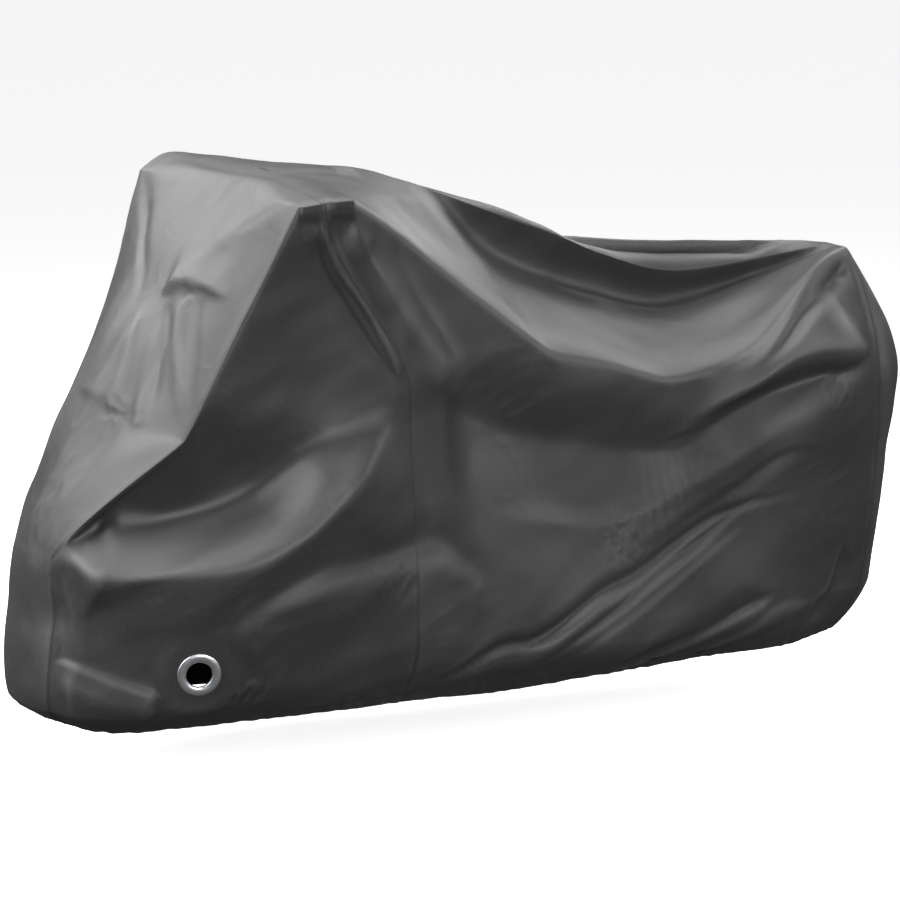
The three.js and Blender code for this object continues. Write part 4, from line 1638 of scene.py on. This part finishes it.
@dataclass(frozen=True)
class CoatedCloth:
    """Charcoal coated polyester: fine weave, packing creases, and ridges whose colour is lightened:
    partly a painted highlight, partly dust and wear.
    """

    dark: tuple[float, float, float] = (0.031, 0.031, 0.033)
    light: tuple[float, float, float] = (0.043, 0.043, 0.045)
    # Colour of the lightened ridges: partly a painted highlight, partly dust.
    dust_and_highlight: tuple[float, float, float] = (0.075, 0.075, 0.077)
    roughness: tuple[float, float] = (0.39, 0.52)
    blotch_range: float = 0.35
    least_ridge_light: float = 0.25
    ridge_light_range: float = 0.3
    dust_roughness: float = 0.1
    weave_depth: float = 0.00012
    weave_strength: float = 0.35
    crinkle_depth: float = 0.0011
    crinkle_strength: float = 0.55

    def material(self, effects: Effects) -> bpy.types.Material:
        """Makes the material.

        Args:
            effects: The shared node groups.

        Returns:
            The material.
        """
        cloth = Surface("coated_cloth")
        blotches = cloth.effect(effects.blotches, {"Scale": 3.4, "Specks": 120.0}).outputs[0]
        crinkles = cloth.effect(effects.crinkles, {"Scale": 11.0})
        weave = cloth.effect(effects.weave).outputs[0]
        # Lighter colour mixed in on the ridges: a painted highlight where light would catch them,
        # together with dust and wear.
        ridge_light_and_wear = cloth.node("ShaderNodeAttribute", {"attribute_name": "ridge_light_and_wear"}).outputs["Fac"]
        tone = cloth.ranged(blotches, 0, 1, -self.blotch_range, self.blotch_range)
        ridge_lightening = cloth.ranged(blotches, self.least_ridge_light, 1, -self.ridge_light_range, self.ridge_light_range)
        ridge_light_share = cloth.math("MULTIPLY", ridge_light_and_wear, ridge_lightening)
        base = cloth.tones(tone, self.dark, self.light)
        cloth.link(cloth.mixed(ridge_light_share, base, (*self.dust_and_highlight, 1)), "Base Color")
        rough = cloth.ranged(blotches, *self.roughness, -self.blotch_range, self.blotch_range)
        cloth.link(cloth.math("MULTIPLY_ADD", ridge_light_share, self.dust_roughness, rough), "Roughness")
        creased = cloth.bump(crinkles.outputs["Height"], self.crinkle_depth, self.crinkle_strength)
        cloth.link(cloth.bump(weave, self.weave_depth, self.weave_strength, creased), "Normal")
        cloth.constant(Specular_IOR_Level=0.5)
        return cloth.made


@dataclass(frozen=True)
class SewingThread:
    """Black polyester thread."""

    dark: tuple[float, float, float] = (0.012, 0.012, 0.013)
    light: tuple[float, float, float] = (0.028, 0.028, 0.03)
    roughness: tuple[float, float] = (0.45, 0.65)
    blotch_range: float = 0.35
    twist_depth: float = 0.0001
    twist_strength: float = 0.5

    def material(self, effects: Effects) -> bpy.types.Material:
        """Makes the material.

        Args:
            effects: The shared node groups.

        Returns:
            The material.
        """
        thread = Surface("sewing_thread")
        blotches = thread.effect(effects.blotches, {"Scale": 40.0, "Specks": 700.0}).outputs[0]
        weave = thread.effect(effects.weave, {"Threads per metre": 2400.0}).outputs[0]
        tone = thread.ranged(blotches, 0, 1, -self.blotch_range, self.blotch_range)
        rough = thread.ranged(blotches, *self.roughness, -self.blotch_range, self.blotch_range)
        thread.link(thread.tones(tone, self.dark, self.light), "Base Color")
        thread.link(rough, "Roughness")
        thread.link(thread.bump(weave, self.twist_depth, self.twist_strength), "Normal")
        return thread.made


@dataclass(frozen=True)
class PolishedSteel:
    """Plated steel with fine handling scuffs."""

    bright: tuple[float, float, float] = (0.93, 0.94, 0.96)
    dull: tuple[float, float, float] = (0.74, 0.76, 0.79)
    roughness: tuple[float, float] = (0.42, 0.3)
    blotch_range: float = 0.3
    scuff_depth: float = 0.0002
    scuff_strength: float = 0.12

    def material(self, effects: Effects) -> bpy.types.Material:
        """Makes the material.

        Args:
            effects: The shared node groups.

        Returns:
            The material.
        """
        steel = Surface("eyelet_metal")
        blotches = steel.effect(effects.blotches, {"Scale": 60.0, "Specks": 900.0}).outputs[0]
        tone = steel.ranged(blotches, 0, 1, -self.blotch_range, self.blotch_range)
        rough = steel.ranged(blotches, *self.roughness, -self.blotch_range, self.blotch_range)
        steel.link(steel.tones(tone, self.dull, self.bright), "Base Color")
        steel.link(rough, "Roughness")
        steel.link(steel.bump(blotches, self.scuff_depth, self.scuff_strength), "Normal")
        steel.constant(Metallic=1.0)
        return steel.made


@dataclass(frozen=True)
class Lamp:
    """A soft box, placed by the direction that it shines from; degrees, metres and watts."""

    name: str
    azimuth: float
    elevation: float
    watts: float
    distance: float = 6.0
    size: float = 3.0


def direction(azimuth: float, elevation: float) -> Vector:
    """The way to a place seen at an azimuth, 0 at -Y and -90 at -X, and an elevation."""
    a, e = math.radians(azimuth), math.radians(elevation)
    return Vector((math.sin(a) * math.cos(e), -math.cos(a) * math.cos(e), math.sin(e)))


@dataclass
class Studio:
    """Camera, light and floor; lengths in metres above the ground."""

    azimuth: float = -30.0
    elevation: float = 8.5
    distance: float = 9.0
    lens: float = 143.4
    sensor: float = 36.0
    view_end: float = 400.0
    target: tuple[float, float, float] = (-0.054, 0.0, 0.694)
    floor_size: float = 240.0
    floor_tone: float = 0.9
    surround: float = 0.085
    backdrop: float = 1.0
    floor_glow: float = 0.84
    lamps: tuple[Lamp, ...] = (
        Lamp("front_box", -90, 38, 330),
        Lamp("front_far_box", -150, 38, 190),
        Lamp("front_low_box", -90, 12, 90),
        Lamp("front_far_low_box", -120, 12, 50),
        Lamp("side_low_box", -5, 12, 195),
        Lamp("rear_low_box", 60, 25, 95),
        Lamp("rear_far_box", 120, 28, 100),
        Lamp("far_box", 180, 38, 33),
        Lamp("over_box", -60, 80, 228),
        Lamp("over_far_box", 150, 62, 110),
    )

    def aim(self, piece: bpy.types.Object, azimuth: float, elevation: float,
            distance: float) -> None:
        """Puts a lamp or the camera in its place, facing the middle of the cover.

        Args:
            piece: The lamp or the camera.
            azimuth: See direction.
            elevation: See direction.
            distance: Metres from the middle.
        """
        back = direction(azimuth, elevation)
        piece.location = Vector(to_frame(np.array(self.target) / MM)) + back * distance
        piece.rotation_euler = (-back).to_track_quat("-Z", "Y").to_euler()

    def camera(self) -> None:
        """The camera, at the viewing angle of the product picture."""
        data = bpy.data.cameras.new("camera")
        data.sensor_width = self.sensor
        data.lens = self.lens
        data.clip_end = self.view_end
        camera = placed("camera", data)
        self.aim(camera, self.azimuth, self.elevation, self.distance)
        bpy.context.scene.camera = camera

    def lights(self) -> None:
        """Soft studio light: a dim even surround, a white backdrop and large soft boxes."""
        world = bpy.data.worlds.new("studio")
        bpy.context.scene.world = world
        world.use_nodes = True
        sky = NodeDesk(world.node_tree)
        background = sky.tree.nodes["Background"].inputs
        background["Color"].default_value = (1, 1, 1, 1)
        seen = sky.node("ShaderNodeLightPath").outputs["Is Camera Ray"]
        sky.tree.links.new(sky.ranged(seen, self.surround, self.backdrop), background["Strength"])
        for lamp in self.lamps:
            data = bpy.data.lights.new(lamp.name, "AREA")
            data.shape = "RECTANGLE"
            data.size = data.size_y = lamp.size
            data.energy = lamp.watts
            self.aim(placed(lamp.name, data), lamp.azimuth, lamp.elevation, lamp.distance)

    def floor(self) -> None:
        """A plain pale floor."""
        half = self.floor_size / 2
        corners = [(-half, -half), (half, -half), (half, half), (-half, half)]
        level = to_frame(np.zeros(3))[2]
        mesh = bpy.data.meshes.new("floor")
        mesh.from_pydata([(x, y, level) for x, y in corners], [], [(0, 1, 2, 3)])
        floor = placed("floor", mesh)
        pale = Surface("pale_floor")
        pale.constant(Base_Color=(self.floor_tone,) * 3 + (1,), Roughness=0.9,
                      Specular_IOR_Level=0.0, Emission_Color=(1, 1, 1, 1),
                      Emission_Strength=self.floor_glow)
        mesh.materials.append(pale.made)
        floor.visible_diffuse = floor.visible_glossy = False


def main() -> None:
    """Builds the cover, its finishes and the studio."""
    logging.basicConfig(level=logging.INFO, format="%(name)s: %(message)s")
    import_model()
    studio = Studio()
    studio.camera()
    studio.lights()
    studio.floor()
    bpy.context.scene.view_settings.view_transform = "Standard"

    effects = Effects()
    charcoal = CoatedCloth().material(effects)
    thread = SewingThread().material(effects)
    steel = PolishedSteel().material(effects)
    tailor = CoverCloth()
    cloth = tailor.build()
    middle, normal = ClothDetail().apply(cloth)
    normals = cloth.normals()
    seams = dict(zip(Panel, Stitching().build(cloth)))
    for panel in Panel:
        piece = tailor.panel_object(cloth, normals, panel)
        piece.data.materials.append(charcoal)
        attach(piece, BODY)
        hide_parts(panel.value)
        stitches = seams[panel]
        stitches.data.materials.append(thread)
        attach(stitches, BODY)
        LOG.info("%s: %d faces, %s: %d faces", piece.name, len(piece.data.polygons), stitches.name,
                 len(stitches.data.polygons))
    eyelet = LockEyelet().build(middle, normal)
    eyelet.data.materials.append(steel)
    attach(eyelet, BODY)
    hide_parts("eyelet_ring_left")
    LOG.info("%s: %d faces", eyelet.name, len(eyelet.data.polygons))


if __name__ == "__main__":
    main()
